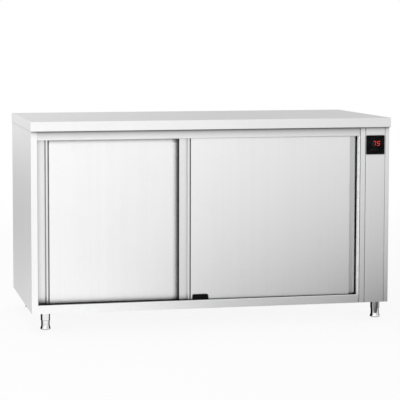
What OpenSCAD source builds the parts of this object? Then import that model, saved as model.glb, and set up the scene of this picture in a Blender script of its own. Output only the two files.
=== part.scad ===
// Plate warmer cabinet: a free-standing stainless hot cupboard with two sliding doors,
// a fan heater and its controller in a narrow bay at the right, and four screw feet.
// Millimetres. Z is up, the doors face -Y, X runs to the right, and the origin is
// on the floor under the middle of the worktop.

/* [Worktop] */
// Width of the worktop, left to right
worktop_w = 1500; // [1200:10:2000]
// Depth of the worktop, front to back
worktop_d = 700; // [600:10:900]
// Height of the worktop's top over the floor
overall_h = 850; // [780:5:950]
// Thickness of the worktop
worktop_t = 40; // [30:1:60]
// Overhang of the worktop past the case's front
front_overhang = 12; // [8:1:40]
// Overhang of the worktop past each side of the case
side_overhang = 2; // [1:1:10]
// Overhang of the worktop past the case's back
back_overhang = 2.5; // [2.5:0.5:10]
// Width of the folded lip under the worktop's edges
worktop_lip = 24; // [15:1:40]

/* [Case] */
// Thickness of the steel sheet
sheet = 1.2; // [1:0.1:2]
// Height of the case's underside over the floor
leg_h = 78; // [70:1:120]
// Width of the left front stile
stile_w = 27; // [20:1:60]
// Width of the post between the door opening and the control cover
post_w = 28; // [24:1:60]
// Width of the control cover
cover_w = 88; // [84:1:140]
// Width of the right side panel's front edge
edge_w = 15; // [10:1:30]
// Height of the rail over the doors
top_rail_h = 36; // [32:1:60]
// Height of the rail under the doors
bottom_rail_h = 34.5; // [32:0.5:60]
// Depth of the returns that stiffen the folded panels
panel_return = 18; // [10:1:30]
// Distance from the case's top and bottom to the back panel's end screws
screw_end = 30; // [20:1:60]
// Gap round the removable control cover
cover_gap = 0.5; // [0.3:0.1:1]
// Distance from the case's back to the inner back wall
back_wall_t = 28; // [15:1:60]
// Distance from the case's top to the chamber's ceiling
ceiling_t = 26.5; // [15:0.5:40]
// Gap between two insulation slabs
slab_gap = 0.5; // [0.3:0.1:2]
// Depth of the top hem of the bottom rail
rail_hem = 5; // [4:0.5:10]

/* [Doors] */
// Recess of the front door behind the case's front
door_recess = 24; // [16:1:40]
// Thickness of a door
door_t = 20; // [18:1:30]
// Gap between the front and the rear door
door_gap = 5; // [4:0.5:10]
// Overlap of the closed doors
door_overlap = 172; // [120:2:260]
// Gap between a closed door's edge and its jamb
door_side_gap = 5; // [3:0.5:10]
// Gap between a door's bottom edge and the sill strip
door_floor_gap = 1.5; // [1:0.25:4]
// Distance from the case's top to a door's top edge
door_drop = 31; // [30:1:36]
// Thickness of the door's sheet
door_sheet = 1; // [0.8:0.1:1.2]
// Depth of the grip channel and of the rear step
grip_depth = 10; // [8:0.5:12]
// Width of the grip channel's flat floor
grip_floor_w = 31.5; // [25:0.5:50]
// Width of the grip channel's slanted wall
grip_slant_w = 4; // [2:0.5:8]
// Width of the lip beside the grip channel
grip_lip_w = 5.3; // [4:0.1:8]
// Set-back of the lip behind the door's face
grip_lip_drop = 1; // [0.5:0.25:2]
// Width of the dark slot between the lip and the panel
grip_slot_w = 5.2; // [4:0.1:8]
// Width of the step at the door's other edge
door_step_w = 27; // [15:1:50]

/* [Door running gear] */
// Diameter of a door wheel
wheel_d = 20; // [16:0.5:20]
// Width of a door wheel
wheel_w = 6; // [4:0.5:6]
// Width of the rim round each end of an axle
axle_rim = 1.5; // [1:0.25:2]
// Running gap between a wheel and its ledge
wheel_gap = 0.3; // [0.2:0.05:0.5]
// Diameter of the wheel's axle
axle_d = 5; // [4:0.5:8]
// Radial clearance between the axle and the wheel's bore
axle_clearance = 0.05; // [0.02:0.01:0.1]
// Side gap at each face of a wheel
wheel_side_gap = 0.3; // [0.2:0.1:0.5]
// Distance from a door's edge to its wheel
wheel_inset = 60; // [40:1:120]
// Thickness of the hanger's steel
hanger_t = 2; // [1.5:0.25:3]
// Length of a hanger along the door
hanger_w = 46; // [30:1:80]
// Distance from the door's face to the hanger's upright
hanger_setback = 8; // [7:0.5:9]
// Thickness of the top track
track_t = 2; // [1.5:0.25:2.5]
// Depth of a track ledge, front to back
track_ledge = 7.5; // [7:0.25:8]
// Gap between a hanger and its end stop when a door is at its limit
stop_gap = 0.5; // [0.3:0.1:1]
// Height of the wheel ledge over the door's top
ledge_over_door = 5; // [4.5:0.25:5.5]

/* [Sill and guide] */
// Thickness of the black sill strip
strip_t = 3; // [2:0.5:4]
// Depth of the sill strip's top under the rail's top edge
strip_drop = 2.5; // [1:0.25:4]
// Depth of the sill behind the rear door
sill_margin = 7; // [6.5:0.5:15]
// Length of the door guide along the sill
guide_w = 65; // [40:1:120]
// Height of the guide's fingers over the sill strip
guide_h = 23; // [12:1:40]
// Thickness of the guide's outer fingers
guide_finger = 5; // [3:0.5:8]
// Gap between a finger and a door
guide_gap = 0.6; // [0.4:0.1:1]
// Radius of the guide's top corners
guide_corner = 6; // [2:0.5:10]
// Thickness of a jamb seal
seal_t = 4; // [2:0.5:4]

/* [Chamber] */
// Height of the shelf's top over the chamber floor
shelf_h = 345; // [320:5:420]
// Thickness of the shelf's folded edge
shelf_edge = 30; // [20:1:40]
// Gap round the shelf
shelf_gap = 3; // [2:0.5:6]
// Width of a shelf bearer's legs
bearer_w = 22; // [15:1:30]
// Length of a shelf vent slot
vent_l = 60; // [30:2:80]
// Width of a shelf vent slot
vent_w = 8; // [5:0.5:10]

/* [Fan heater] */
// Gap between the shelf's bearer and the fan's guard
guard_gap = 6; // [3:0.5:20]
// Distance from the partition's bay side to the fan wheel
fan_inset = 8; // [6:0.5:10]
// Set-back of the fan's axis behind the middle of the case
fan_y = 120; // [60:5:140]
// Side of the square plenum
plenum_w = 260; // [240:2:280]
// Depth of the plenum
plenum_d = 50; // [44:1:52]
// Clearance between the fan wheel's rim and the round inlet's edge
inlet_clearance = 3; // [2:0.5:6]
// Diameter of the fan wheel
fan_d = 130; // [100:2:140]
// Width of the fan wheel
fan_w = 26; // [16:1:28]
// Number of fan blades
fan_blades = 10; // [6:1:16]
// Diameter of the motor
motor_d = 80; // [60:1:90]
// Length of the motor
motor_l = 40; // [30:1:42]
// Diameter of the motor's shaft
shaft_d = 8; // [6:0.5:10]
// Radial clearance between the shaft and the motor's bearing
shaft_clearance = 0.05; // [0.02:0.01:0.1]
// Mean diameter of the heating ring
ring_d = 190; // [170:2:220]
// Diameter of the heating ring's tube
ring_tube = 8.5; // [6:0.5:10]
// Side of the guard in front of the fan
guard_w = 250; // [236:2:256]

/* [Controller] */
// Width of the controller's bezel
bezel_w = 79; // [76:1:84]
// Height of the controller's bezel
bezel_h = 78; // [76:1:90]
// Distance from the control cover's left edge to the bezel
bezel_inset = 2; // [1:0.5:4]
// Distance from the case's top to the bezel
bezel_drop = 34; // [20:1:80]
// Thickness of the bezel
bezel_t = 2.5; // [2:0.25:4]
// Gap round the display window
window_gap = 0.1; // [0.05:0.05:0.3]
// Width of the bezel's frame
bezel_frame = 3; // [2:0.25:4]
// Corner radius of the bezel
bezel_r = 2.5; // [1:0.25:4]
// Side of the controller's square case
controller_w = 70; // [60:1:72]
// Depth of the controller's case
controller_d = 62; // [40:1:80]

/* [Electrical parts] */
// Width of the mounting rail in the bay
din_w = 35; // [30:1:40]
// Thickness of the mounting rail
din_t = 7.5; // [5:0.5:10]
// Length of the mounting rail
din_l = 300; // [260:10:400]
// Diameter of the temperature probe
probe_d = 6; // [4:0.5:8]
// Length of the probe inside the chamber
probe_l = 70; // [40:2:100]
// Diameter of the cable gland's thread
gland_d = 20; // [16:1:25]
// Diameter of the cable gland's bore
gland_bore = 10; // [6:0.5:12]
// Width of the gland's nuts beside its thread
gland_nut_rim = 4; // [3:0.5:6]
// Length of the gland under the case
gland_l = 22; // [15:1:30]
// Diameter of the bonding stud
stud_d = 6; // [5:0.5:8]
// Thickness of the plates and nuts that hold the feet, the gland and the stud
flange_t = 3; // [2:0.5:4]
// Length of the bonding stud under the case
stud_l = 16; // [12:1:20]

/* [Feet] */
// Width of a leg's socket plate beside its tube
socket_rim = 4.5; // [3:0.5:8]
// Diameter of a leg's tube
leg_d = 38; // [34:1:44]
// Wall of a leg's tube
leg_wall = 1.5; // [1:0.25:2]
// Distance from the case's left side to the left legs' axes
leg_inset_left = 64; // [56:1:100]
// Distance from the case's right side to the right legs' axes
leg_inset_right = 30; // [28:1:60]
// Distance from the case's front and back to the legs' axes
leg_inset_y = 76; // [66:1:140]
// Height of a screw foot when it is screwed in
foot_h = 39.7; // [34:0.1:45]
// Largest diameter of a foot
foot_d = 41; // [38:0.5:46]
// Diameter of a foot's waist under the tube
foot_waist_d = 34.5; // [28:0.5:36]
// Height of the foot's widest band over the floor
foot_rim_h = 6; // [6:0.5:10]
// Height of the flare between that band and the waist
foot_flare_h = 14; // [10:0.5:22]
// Diameter of a foot's threaded stem
stem_d = 12; // [8:1:16]
// Radial clearance round the stem
stem_clearance = 0.05; // [0.02:0.01:0.1]
// Length of the stem over the foot
stem_l = 35; // [28:1:36]
// Gap between a foot and its tube when it is screwed in
foot_gap = 0.3; // [0.2:0.1:0.5]
// Height of the threaded bush in a tube
bush_h = 16; // [12:1:20]

/* [Fasteners] */
// Number of screws down each side of the back panel
back_screws = 6; // [4:1:10]
// Number of vent slots in the back panel
back_vents = 6; // [3:1:8]
// Diameter of a back panel screw's shank
screw_d = 4; // [3:0.5:5]
// Diameter of a back panel screw's head
screw_head_d = 8; // [6:0.5:10]
// Height of a back panel screw's head
screw_head_h = 2; // [1:0.25:2.5]
// Clearance round a screw's shank
screw_clearance = 0.1; // [0.05:0.05:0.3]

/* [Hidden] */
$fn = 48;

steel = [0.84, 0.84, 0.85];
bright = [0.93, 0.93, 0.94];
black = [0.06, 0.06, 0.06];
wool = [0.80, 0.74, 0.52];
tiny = 0.01;
flare_steps = 6;

// Outer planes of the case
case_l = -worktop_w / 2 + side_overhang;
case_r = worktop_w / 2 - side_overhang;
case_f = -worktop_d / 2 + front_overhang;
case_b = worktop_d / 2 - back_overhang;
case_z = leg_h;
case_top = overall_h - worktop_t;
// Inner faces of the outer skin
skin_l = case_l + sheet;
skin_r = case_r - sheet;
skin_f = case_f + sheet;
skin_b = case_b - sheet;
skin_z = case_z + sheet;

// Door opening, control bay and rails
open_l = case_l + stile_w;
bay_r = case_r - edge_w;
bay_l = bay_r - cover_w;
open_r = bay_l - post_w;
rail_z = case_top - top_rail_h;
sill_z = case_z + bottom_rail_h;
strip_z = sill_z - strip_drop;
ledge_z = strip_z - strip_t;

// Doors
door_w = (open_r - open_l - 2 * door_side_gap + door_overlap) / 2;
left_door_x = open_l + door_side_gap;
right_door_x = open_r - door_side_gap - door_w;
front_door_y = case_f + door_recess;
rear_door_y = front_door_y + door_t + door_gap;
door_z0 = strip_z + door_floor_gap;
door_z1 = case_top - door_drop;
grip_lip_x = grip_floor_w + grip_slant_w;
grip_slot_x = grip_lip_x + grip_lip_w;
panel_x = grip_slot_x + grip_slot_w;
step_x = door_w - door_step_w;

// Running gear, measured from a door's face
ledge_top = door_z1 + ledge_over_door;
wheel_z = ledge_top + wheel_gap + wheel_d / 2;
wheel_y = hanger_setback + hanger_t + 4 * wheel_side_gap + wheel_w / 2;
web_y = wheel_y - wheel_w / 2 + track_ledge;
hanger_top = wheel_z + axle_d + hanger_t;
track_z = case_top - sheet;
stop_reach = wheel_inset - hanger_w / 3 - stop_gap;
stop_l = open_l + door_side_gap + stop_reach;
stop_r = open_r - door_side_gap - stop_reach;

// Jambs, sill and chamber
sill_y1 = rear_door_y + door_t + sill_margin;
chamber_l = open_l;
chamber_r = bay_l - sheet;
chamber_y1 = case_b - back_wall_t;
ceiling_z = case_top - ceiling_t;
floor_z = ledge_z - sheet;
floor_pan_z = floor_z - sheet;
floor_w = chamber_r - chamber_l;

// Guide, midway along the overlap of the closed doors
guide_x = (right_door_x + left_door_x + door_w) / 2;
guide_y0 = front_door_y - guide_gap - guide_finger;
guide_y1 = rear_door_y + door_t + guide_gap + guide_finger;

// Shelf
shelf_z = floor_z + shelf_h;
shelf_z0 = shelf_z - shelf_edge;
shelf_y0 = sill_y1 + shelf_gap;
shelf_y1 = chamber_y1 - shelf_gap;

// Fan heater
fan_z = shelf_z0 - bearer_w - guard_gap - guard_w / 2;
guard_x = chamber_r - 2 * sheet;
fan_x = bay_l + fan_inset;
plenum_x = bay_l + plenum_d;
inlet_d = fan_d + 2 * inlet_clearance;

// Controller
bezel_x = bay_l + bezel_inset;
bezel_z = case_top - bezel_drop - bezel_h;
controller_x = bezel_x + bezel_w / 2;
controller_z = bezel_z + bezel_h / 2;

// Electrical parts in the bay
din_x = bay_l + din_t;
din_y = fan_y - plenum_w / 2 - 3 * din_w;
din_z = fan_z + plenum_w / 2 - din_w;
gland_x = (bay_l + bay_r) / 2;
gland_y = chamber_y1 - 3 * leg_d - gland_d;
stud_y = gland_y - 2 * gland_d;

// Legs
leg_xl = case_l + leg_inset_left;
leg_xr = case_r - leg_inset_right;
leg_y0 = case_f + leg_inset_y;
leg_y1 = case_b - leg_inset_y;
leg_places = [[leg_xl, leg_y0], [leg_xr, leg_y0], [leg_xl, leg_y1], [leg_xr, leg_y1]];
tube_z0 = foot_h + foot_gap;
tube_top = skin_z + 3 * flange_t;
socket_w = leg_d + 2 * socket_rim;

// Screw pitch of the back panel
screw_x = case_r - panel_return / 2;
screw_z0 = case_z + screw_end;
screw_pitch = (case_top - screw_end - screw_z0) / (back_screws - 1);

// Vent slots of the back panel, level with the fan
back_vent_pitch = 3 * vent_w;
back_vent_z = fan_z - (back_vents - 1) * back_vent_pitch / 2 - vent_w / 2;

// A block between three pairs of limits
module block(x0, x1, y0, y1, z0, z1) {
    translate([x0, y0, z0])
        cube([x1 - x0, y1 - y0, z1 - z0]);
}

// A rectangle between two pairs of limits
module plate(u0, u1, v0, v1) {
    translate([u0, v0])
        square([u1 - u0, v1 - v0]);
}

// A plan outline stood up between two heights
module upright(z0, z1) {
    translate([0, 0, z0])
        linear_extrude(height = z1 - z0)
            children();
}

// A Y-Z section drawn out along X
module along_x(x0, x1) {
    translate([x0, 0, 0])
        rotate([90, 0, 90])
            linear_extrude(height = x1 - x0)
                children();
}

// A round rod along X, from x0 to x1
module rod_x(x0, x1, y, z, d) {
    translate([x0, y, z])
        rotate([0, 90, 0])
            cylinder(h = x1 - x0, d = d);
}

// A round rod along Y, from y0 to y1
module rod_y(x, y0, y1, z, d) {
    translate([x, y0, z])
        rotate([-90, 0, 0])
            cylinder(h = y1 - y0, d = d);
}

// A rectangle with round corners
module rounded_plate(w, h, r) {
    square([w - 2 * r, h], center = true);
    square([w, h - 2 * r], center = true);
    for (sx = [-1, 1], sy = [-1, 1])
        translate([sx * (w / 2 - r), sy * (h / 2 - r)])
            circle(r = r);
}

// Worktop

module worktop_lip_ring() {
    difference() {
        plate(-worktop_w / 2, worktop_w / 2, -worktop_d / 2, worktop_d / 2);
        plate(-worktop_w / 2 + worktop_lip, worktop_w / 2 - worktop_lip,
            -worktop_d / 2 + worktop_lip, worktop_d / 2 - worktop_lip);
    }
}

module worktop_skirt_ring() {
    difference() {
        plate(-worktop_w / 2, worktop_w / 2, -worktop_d / 2, worktop_d / 2);
        plate(-worktop_w / 2 + sheet, worktop_w / 2 - sheet,
            -worktop_d / 2 + sheet, worktop_d / 2 - sheet);
    }
}

module worktop() {
    color(steel) {
        upright(overall_h - sheet, overall_h)
            plate(-worktop_w / 2, worktop_w / 2, -worktop_d / 2, worktop_d / 2);
        upright(case_top, overall_h)
            worktop_skirt_ring();
        upright(case_top, case_top + sheet)
            worktop_lip_ring();
    }
}

module worktop_core() {
    color("burlywood")
        block(-worktop_w / 2 + sheet, worktop_w / 2 - sheet,
            -worktop_d / 2 + sheet, worktop_d / 2 - sheet,
            case_top + sheet, overall_h - sheet);
}

// Case

module left_side_panel() {
    color(steel)
        difference() {
            union() {
                upright(case_z, case_top) {
                    plate(case_l, skin_l, case_f, skin_b);
                    plate(case_l, open_l, case_f, skin_f);
                }
                upright(skin_z, case_top) {
                    plate(open_l - sheet, open_l, case_f, sill_y1);
                    plate(case_l, case_l + panel_return, skin_b - sheet, skin_b);
                }
            }
            back_screw_holes(-1);
        }
}

module right_side_panel() {
    color(steel)
        difference() {
            union() {
                upright(case_z, case_top) {
                    plate(skin_r, case_r, case_f, skin_b);
                    plate(bay_r, case_r, case_f, skin_f);
                }
                upright(skin_z, case_top) {
                    plate(bay_r, bay_r + sheet, case_f, case_f + panel_return);
                    plate(case_r - panel_return, case_r, skin_b - sheet, skin_b);
                }
            }
            back_screw_holes(1);
        }
}

module back_screw_holes(side) {
    for (i = [0 : back_screws - 1])
        rod_y(side * screw_x, skin_b - 2 * sheet, case_b + sheet,
            screw_z0 + i * screw_pitch, screw_d + 2 * screw_clearance);
}

module back_panel() {
    color(steel)
        difference() {
            block(case_l, case_r, skin_b, case_b, case_z, case_top);
            back_screw_holes(-1);
            back_screw_holes(1);
            for (i = [0 : back_vents - 1])
                block(bay_l + panel_return, bay_r - panel_return, skin_b - sheet, case_b + sheet,
                    back_vent_z + i * back_vent_pitch, back_vent_z + i * back_vent_pitch + vent_w);
        }
}

module back_panel_screws() {
    color(bright)
        for (side = [-1, 1], i = [0 : back_screws - 1]) {
            rod_y(side * screw_x, case_b, case_b + screw_head_h,
                screw_z0 + i * screw_pitch, screw_head_d);
            rod_y(side * screw_x, skin_b - sheet, case_b + tiny,
                screw_z0 + i * screw_pitch, screw_d);
        }
}

module top_rail() {
    color(steel)
        along_x(open_l, open_r) {
            plate(case_f, skin_f, rail_z, case_top);
            plate(case_f, case_f + door_recess / 2, rail_z, rail_z + sheet);
            plate(case_f, sill_y1, case_top - sheet, case_top);
        }
}

module bottom_rail() {
    color(steel)
        along_x(open_l, open_r) {
            plate(case_f, skin_f, case_z, sill_z);
            plate(case_f, case_f + rail_hem, sill_z - sheet, sill_z);
            plate(case_f + rail_hem - sheet, case_f + rail_hem, ledge_z - sheet, sill_z);
            plate(case_f + rail_hem - sheet, sill_y1, ledge_z - sheet, ledge_z);
            plate(sill_y1 - sheet, sill_y1, tube_top + flange_t, ledge_z);
        }
}

module jamb_post() {
    color(steel) {
        upright(case_z, case_top)
            plate(open_r, bay_l, case_f, skin_f);
        upright(skin_z, case_top) {
            plate(open_r, open_r + sheet, case_f, sill_y1);
            plate(bay_l - sheet, bay_l, case_f, sill_y1);
            plate(open_r, bay_l, sill_y1 - sheet, sill_y1);
        }
    }
}

module underside_pan() {
    color(steel)
        difference() {
            block(skin_l, skin_r, skin_f, skin_b, case_z, skin_z);
            for (p = leg_places)
                translate([p[0], p[1], case_z - sheet])
                    cylinder(h = 3 * sheet, d = leg_d + 2 * screw_clearance);
            translate([gland_x, gland_y, case_z - sheet])
                cylinder(h = 3 * sheet, d = gland_d + 2 * screw_clearance);
            translate([gland_x, stud_y, case_z - sheet])
                cylinder(h = 3 * sheet, d = stud_d + 2 * screw_clearance);
        }
}

module floor_pan() {
    color(steel)
        block(chamber_l, chamber_r, sill_y1, chamber_y1, floor_pan_z, floor_z);
}

module inner_left_wall() {
    color(steel)
        block(chamber_l - sheet, chamber_l, sill_y1, chamber_y1 + sheet, skin_z, case_top);
}

module inner_back_wall() {
    color(steel)
        block(chamber_l, chamber_r, chamber_y1, chamber_y1 + sheet, skin_z, case_top);
}

module chamber_ceiling() {
    color(steel)
        along_x(chamber_l, chamber_r) {
            plate(sill_y1, chamber_y1, ceiling_z, ceiling_z + sheet);
            plate(sill_y1, sill_y1 + sheet, ceiling_z, case_top);
        }
}

module side_slots(x0, x1) {
    for (side = [-1, 1], i = [-3 : 3])
        block(x0, x1, fan_y + side * ring_d / 2 - vent_w, fan_y + side * ring_d / 2 + vent_w,
            fan_z + i * 4 * vent_w - vent_w, fan_z + i * 4 * vent_w + vent_w);
}

module bay_partition() {
    color(steel)
        difference() {
            block(chamber_r, bay_l, sill_y1, skin_b, skin_z, case_top);
            rod_x(chamber_r - sheet, bay_l + sheet, fan_y, fan_z, inlet_d);
            side_slots(chamber_r - sheet, bay_l + sheet);
            rod_x(chamber_r - sheet, bay_l + sheet, din_y, din_z + din_l,
                probe_d + 2 * screw_clearance);
        }
}

module insulation_slabs() {
    color(wool) {
        block(skin_l, open_l - sheet, skin_f, chamber_y1 + sheet - slab_gap, skin_z, case_top);
        block(skin_l, chamber_r, chamber_y1 + sheet, skin_b - sheet, skin_z, case_top);
        block(chamber_l, chamber_r, sill_y1 + sheet, chamber_y1, ceiling_z + sheet, case_top);
        difference() {
            block(chamber_l, chamber_r, sill_y1, chamber_y1, skin_z, floor_pan_z);
            for (p = leg_places)
                block(p[0] - socket_w / 2 - sheet, p[0] + socket_w / 2 + sheet,
                    p[1] - socket_w / 2 - sheet, p[1] + socket_w / 2 + sheet,
                    case_z, case_z + 2 * bottom_rail_h);
        }
    }
}

// Control cover and controller

module control_cover() {
    x0 = bay_l + cover_gap;
    x1 = bay_r - cover_gap;
    color(steel)
        difference() {
            union() {
                upright(case_z + cover_gap, case_top - cover_gap)
                    plate(x0, x1, case_f, skin_f);
                upright(skin_z + cover_gap, case_top - cover_gap) {
                    plate(x0, x0 + sheet, case_f, case_f + panel_return);
                    plate(x1 - sheet, x1, case_f, case_f + panel_return);
                }
            }
            block(controller_x - controller_w / 2 - cover_gap,
                controller_x + controller_w / 2 + cover_gap, case_f - sheet, skin_f + sheet,
                controller_z - controller_w / 2 - cover_gap,
                controller_z + controller_w / 2 + cover_gap);
        }
}

module controller_case() {
    color(black)
        block(controller_x - controller_w / 2, controller_x + controller_w / 2,
            case_f, case_f + controller_d,
            controller_z - controller_w / 2, controller_z + controller_w / 2);
}

module bezel_outline(inset, r) {
    rounded_plate(bezel_w - 2 * inset, bezel_h - 2 * inset, r);
}

module controller_bezel() {
    color(black)
        translate([controller_x, case_f, controller_z])
            rotate([90, 0, 0])
                linear_extrude(height = bezel_t)
                    difference() {
                        bezel_outline(0, bezel_r);
                        bezel_outline(bezel_frame, bezel_r / 2);
                    }
}

module display_window() {
    color(black)
        translate([controller_x, case_f, controller_z])
            rotate([90, 0, 0])
                linear_extrude(height = bezel_t - bezel_frame / 10)
                    bezel_outline(bezel_frame + window_gap, bezel_r / 2);
}

// Electrical parts in the bay

module mounting_rail() {
    color(bright)
        translate([0, 0, din_z])
            linear_extrude(height = din_l - din_w) {
                plate(bay_l, bay_l + sheet, din_y - din_w / 4, din_y + din_w / 4);
                plate(bay_l, din_x, din_y - din_w / 4 - sheet, din_y - din_w / 4);
                plate(bay_l, din_x, din_y + din_w / 4, din_y + din_w / 4 + sheet);
                plate(din_x - sheet, din_x, din_y - din_w / 2, din_y - din_w / 4);
                plate(din_x - sheet, din_x, din_y + din_w / 4, din_y + din_w / 2);
            }
}

// A rail-mounted unit, with its place along the rail, height, width and depth
module rail_unit(z, h, w, d) {
    difference() {
        block(din_x, din_x + d, din_y - w / 2, din_y + w / 2, din_z + z, din_z + z + h);
        for (i = [0 : 2])
            rod_x(din_x + d - din_t, din_x + d + sheet, din_y + (i - 1) * w / 4,
                din_z + z + h / 2, vent_w / 2);
    }
}

module terminal_block() {
    color("gray")
        rail_unit(din_w / 2, 2 * din_w, din_w + vent_w, din_w);
}

module contactor() {
    color("dimgray")
        rail_unit(3 * din_w, 2 * din_w, din_w + 2 * vent_w, 2 * din_w - 2 * vent_w);
}

module safety_thermostat() {
    color("ivory")
        rail_unit(5.5 * din_w, 1.5 * din_w, din_w + vent_w, din_w);
}

module temperature_probe() {
    color(bright) {
        rod_x(chamber_r - probe_l, bay_l + 2 * probe_d, din_y, din_z + din_l, probe_d);
        rod_x(bay_l, bay_l + probe_d, din_y, din_z + din_l, 2 * probe_d);
    }
}

// Chamber furniture

module shelf_vents() {
    for (row = [-1, 0, 1], i = [-4 : 4])
        block(floor_w / 2 + chamber_l + i * 2 * vent_l - vent_l / 2,
            floor_w / 2 + chamber_l + i * 2 * vent_l + vent_l / 2,
            row * 2 * vent_l - vent_w / 2, row * 2 * vent_l + vent_w / 2,
            shelf_z - 2 * sheet, shelf_z + sheet);
}

module shelf() {
    x0 = chamber_l + shelf_gap;
    x1 = chamber_r - shelf_gap;
    color(steel)
        difference() {
            union() {
                block(x0, x1, shelf_y0, shelf_y1, shelf_z - sheet, shelf_z);
                block(x0, x1, shelf_y0, shelf_y0 + sheet, shelf_z0, shelf_z);
                block(x0, x1, shelf_y1 - sheet, shelf_y1, shelf_z0, shelf_z);
                block(x0, x0 + sheet, shelf_y0, shelf_y1, shelf_z0, shelf_z);
                block(x1 - sheet, x1, shelf_y0, shelf_y1, shelf_z0, shelf_z);
            }
            shelf_vents();
        }
}

// An angle on a side wall that carries one end of the shelf
module shelf_bearer(x, side) {
    y0 = shelf_y0 + 2 * bearer_w;
    y1 = shelf_y1 - 2 * bearer_w;
    block(min(x, x + side * sheet), max(x, x + side * sheet), y0, y1,
        shelf_z0 - bearer_w, shelf_z0);
    block(min(x, x + side * bearer_w), max(x, x + side * bearer_w), y0, y1,
        shelf_z0 - sheet, shelf_z0);
}

module shelf_bearers() {
    color(steel) {
        shelf_bearer(chamber_l, 1);
        shelf_bearer(chamber_r, -1);
    }
}

// Door track, sill and guide

module track_lane(door_y) {
    plate(door_y + web_y, door_y + web_y + track_t, ledge_top - track_t, track_z);
    plate(door_y + wheel_y - wheel_w / 2, door_y + web_y + track_t,
        ledge_top - track_t, ledge_top);
}

// A tab across a lane that stops a hanger, with its face at x
module track_stop(x0, x1, door_y) {
    block(x0, x1, door_y + hanger_setback, door_y + web_y + track_t / 2,
        ledge_top - track_t, track_z - track_t / 2);
}

module door_track() {
    color(steel) {
        along_x(open_l, open_r) {
            plate(front_door_y - track_t, rear_door_y + web_y + track_t,
                track_z - track_t, track_z);
            track_lane(front_door_y);
            track_lane(rear_door_y);
        }
        for (door_y = [front_door_y, rear_door_y]) {
            track_stop(stop_l - track_t, stop_l, door_y);
            track_stop(stop_r, stop_r + track_t, door_y);
        }
    }
}

module sill_strip() {
    color(black)
        difference() {
            block(open_l, open_r, case_f + rail_hem, sill_y1, ledge_z, strip_z);
            block(guide_x - guide_w / 2 - guide_gap, guide_x + guide_w / 2 + guide_gap,
                guide_y0 - guide_gap, guide_y1 + guide_gap, ledge_z - strip_t, strip_z + strip_t);
        }
}

// One finger of the door guide, between two planes
module guide_finger(y0, y1) {
    translate([guide_x, y1, ledge_z])
        rotate([90, 0, 0])
            linear_extrude(height = y1 - y0) {
                plate(-guide_w / 2, guide_w / 2, 0, strip_t + guide_h - guide_corner);
                plate(-guide_w / 2 + guide_corner, guide_w / 2 - guide_corner,
                    0, strip_t + guide_h);
                for (side = [-1, 1])
                    translate([side * (guide_w / 2 - guide_corner),
                        strip_t + guide_h - guide_corner])
                        circle(r = guide_corner);
            }
}

module door_guide() {
    color(black) {
        block(guide_x - guide_w / 2, guide_x + guide_w / 2, guide_y0, guide_y1,
            ledge_z, strip_z);
        guide_finger(guide_y0, guide_y0 + guide_finger);
        guide_finger(front_door_y + door_t + guide_gap, rear_door_y - guide_gap);
        guide_finger(guide_y1 - guide_finger, guide_y1);
    }
}

module jamb_seals() {
    color(black) {
        block(open_l, open_l + seal_t, rear_door_y, rear_door_y + door_t - door_sheet,
            strip_z, door_z1);
        block(open_r - seal_t, open_r, front_door_y, front_door_y + door_t - door_sheet,
            strip_z, door_z1);
    }
}

// Fan heater

module heater_plenum() {
    h = plenum_w / 2;
    color(steel)
        difference() {
            block(bay_l, plenum_x, fan_y - h, fan_y + h, fan_z - h, fan_z + h);
            block(bay_l - sheet, plenum_x - sheet, fan_y - h + sheet, fan_y + h - sheet,
                fan_z - h + sheet, fan_z + h - sheet);
            rod_x(plenum_x - 2 * sheet, plenum_x + sheet, fan_y, fan_z, 3 * shaft_d);
            for (side = [-1, 1])
                rod_x(plenum_x - 2 * sheet, plenum_x + sheet, fan_y + side * 2 * ring_tube,
                    fan_z + ring_d / 2, ring_tube + 2 * screw_clearance);
        }
}

module heating_element() {
    x = bay_l + plenum_d / 2;
    color("dimgray") {
        translate([x, fan_y, fan_z])
            rotate([0, 90, 0])
                rotate_extrude()
                    translate([ring_d / 2, 0])
                        circle(d = ring_tube);
        for (side = [-1, 1])
            rod_x(x, plenum_x + 3 * ring_tube, fan_y + side * 2 * ring_tube,
                fan_z + ring_d / 2, ring_tube);
    }
}

module fan_guard() {
    h = guard_w / 2;
    color(steel)
        difference() {
            block(guard_x, chamber_r, fan_y - h, fan_y + h, fan_z - h, fan_z + h);
            for (i = [-4 : 4]) {
                z = i * fan_d / 10;
                chord = sqrt(pow(fan_d / 2, 2) - pow(z, 2));
                block(guard_x - sheet, chamber_r + sheet, fan_y - chord, fan_y + chord,
                    fan_z + z - vent_w / 2, fan_z + z + vent_w / 2);
            }
            side_slots(guard_x - sheet, chamber_r + sheet);
        }
}

module fan_motor() {
    color("slategray")
        difference() {
            union() {
                rod_x(plenum_x, plenum_x + motor_l, fan_y, fan_z, motor_d);
                rod_x(plenum_x, plenum_x + flange_t, fan_y, fan_z, motor_d + vent_w);
            }
            rod_x(plenum_x - sheet, plenum_x + motor_l - flange_t, fan_y, fan_z,
                shaft_d + 2 * shaft_clearance);
        }
}

module motor_shaft() {
    color(bright)
        rod_x(fan_x + sheet, plenum_x + motor_l - 2 * flange_t, fan_y, fan_z, shaft_d);
}

module fan_wheel() {
    color("lightsteelblue")
        difference() {
            translate([fan_x, fan_y, fan_z])
                rotate([0, 90, 0]) {
                    translate([0, 0, fan_w - sheet])
                        cylinder(h = sheet, d = fan_d);
                    cylinder(h = fan_w, d = 3 * shaft_d);
                    for (i = [0 : fan_blades - 1])
                        rotate(i * 360 / fan_blades)
                            translate([fan_d / 4, 0, 0])
                                rotate(50)
                                    translate([0, -sheet / 2, 0])
                                        cube([fan_d / 5, sheet, fan_w]);
                }
            rod_x(fan_x - sheet, fan_x + fan_w + sheet, fan_y, fan_z, shaft_d);
        }
}

// Cable gland and bonding stud under the bay

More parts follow.
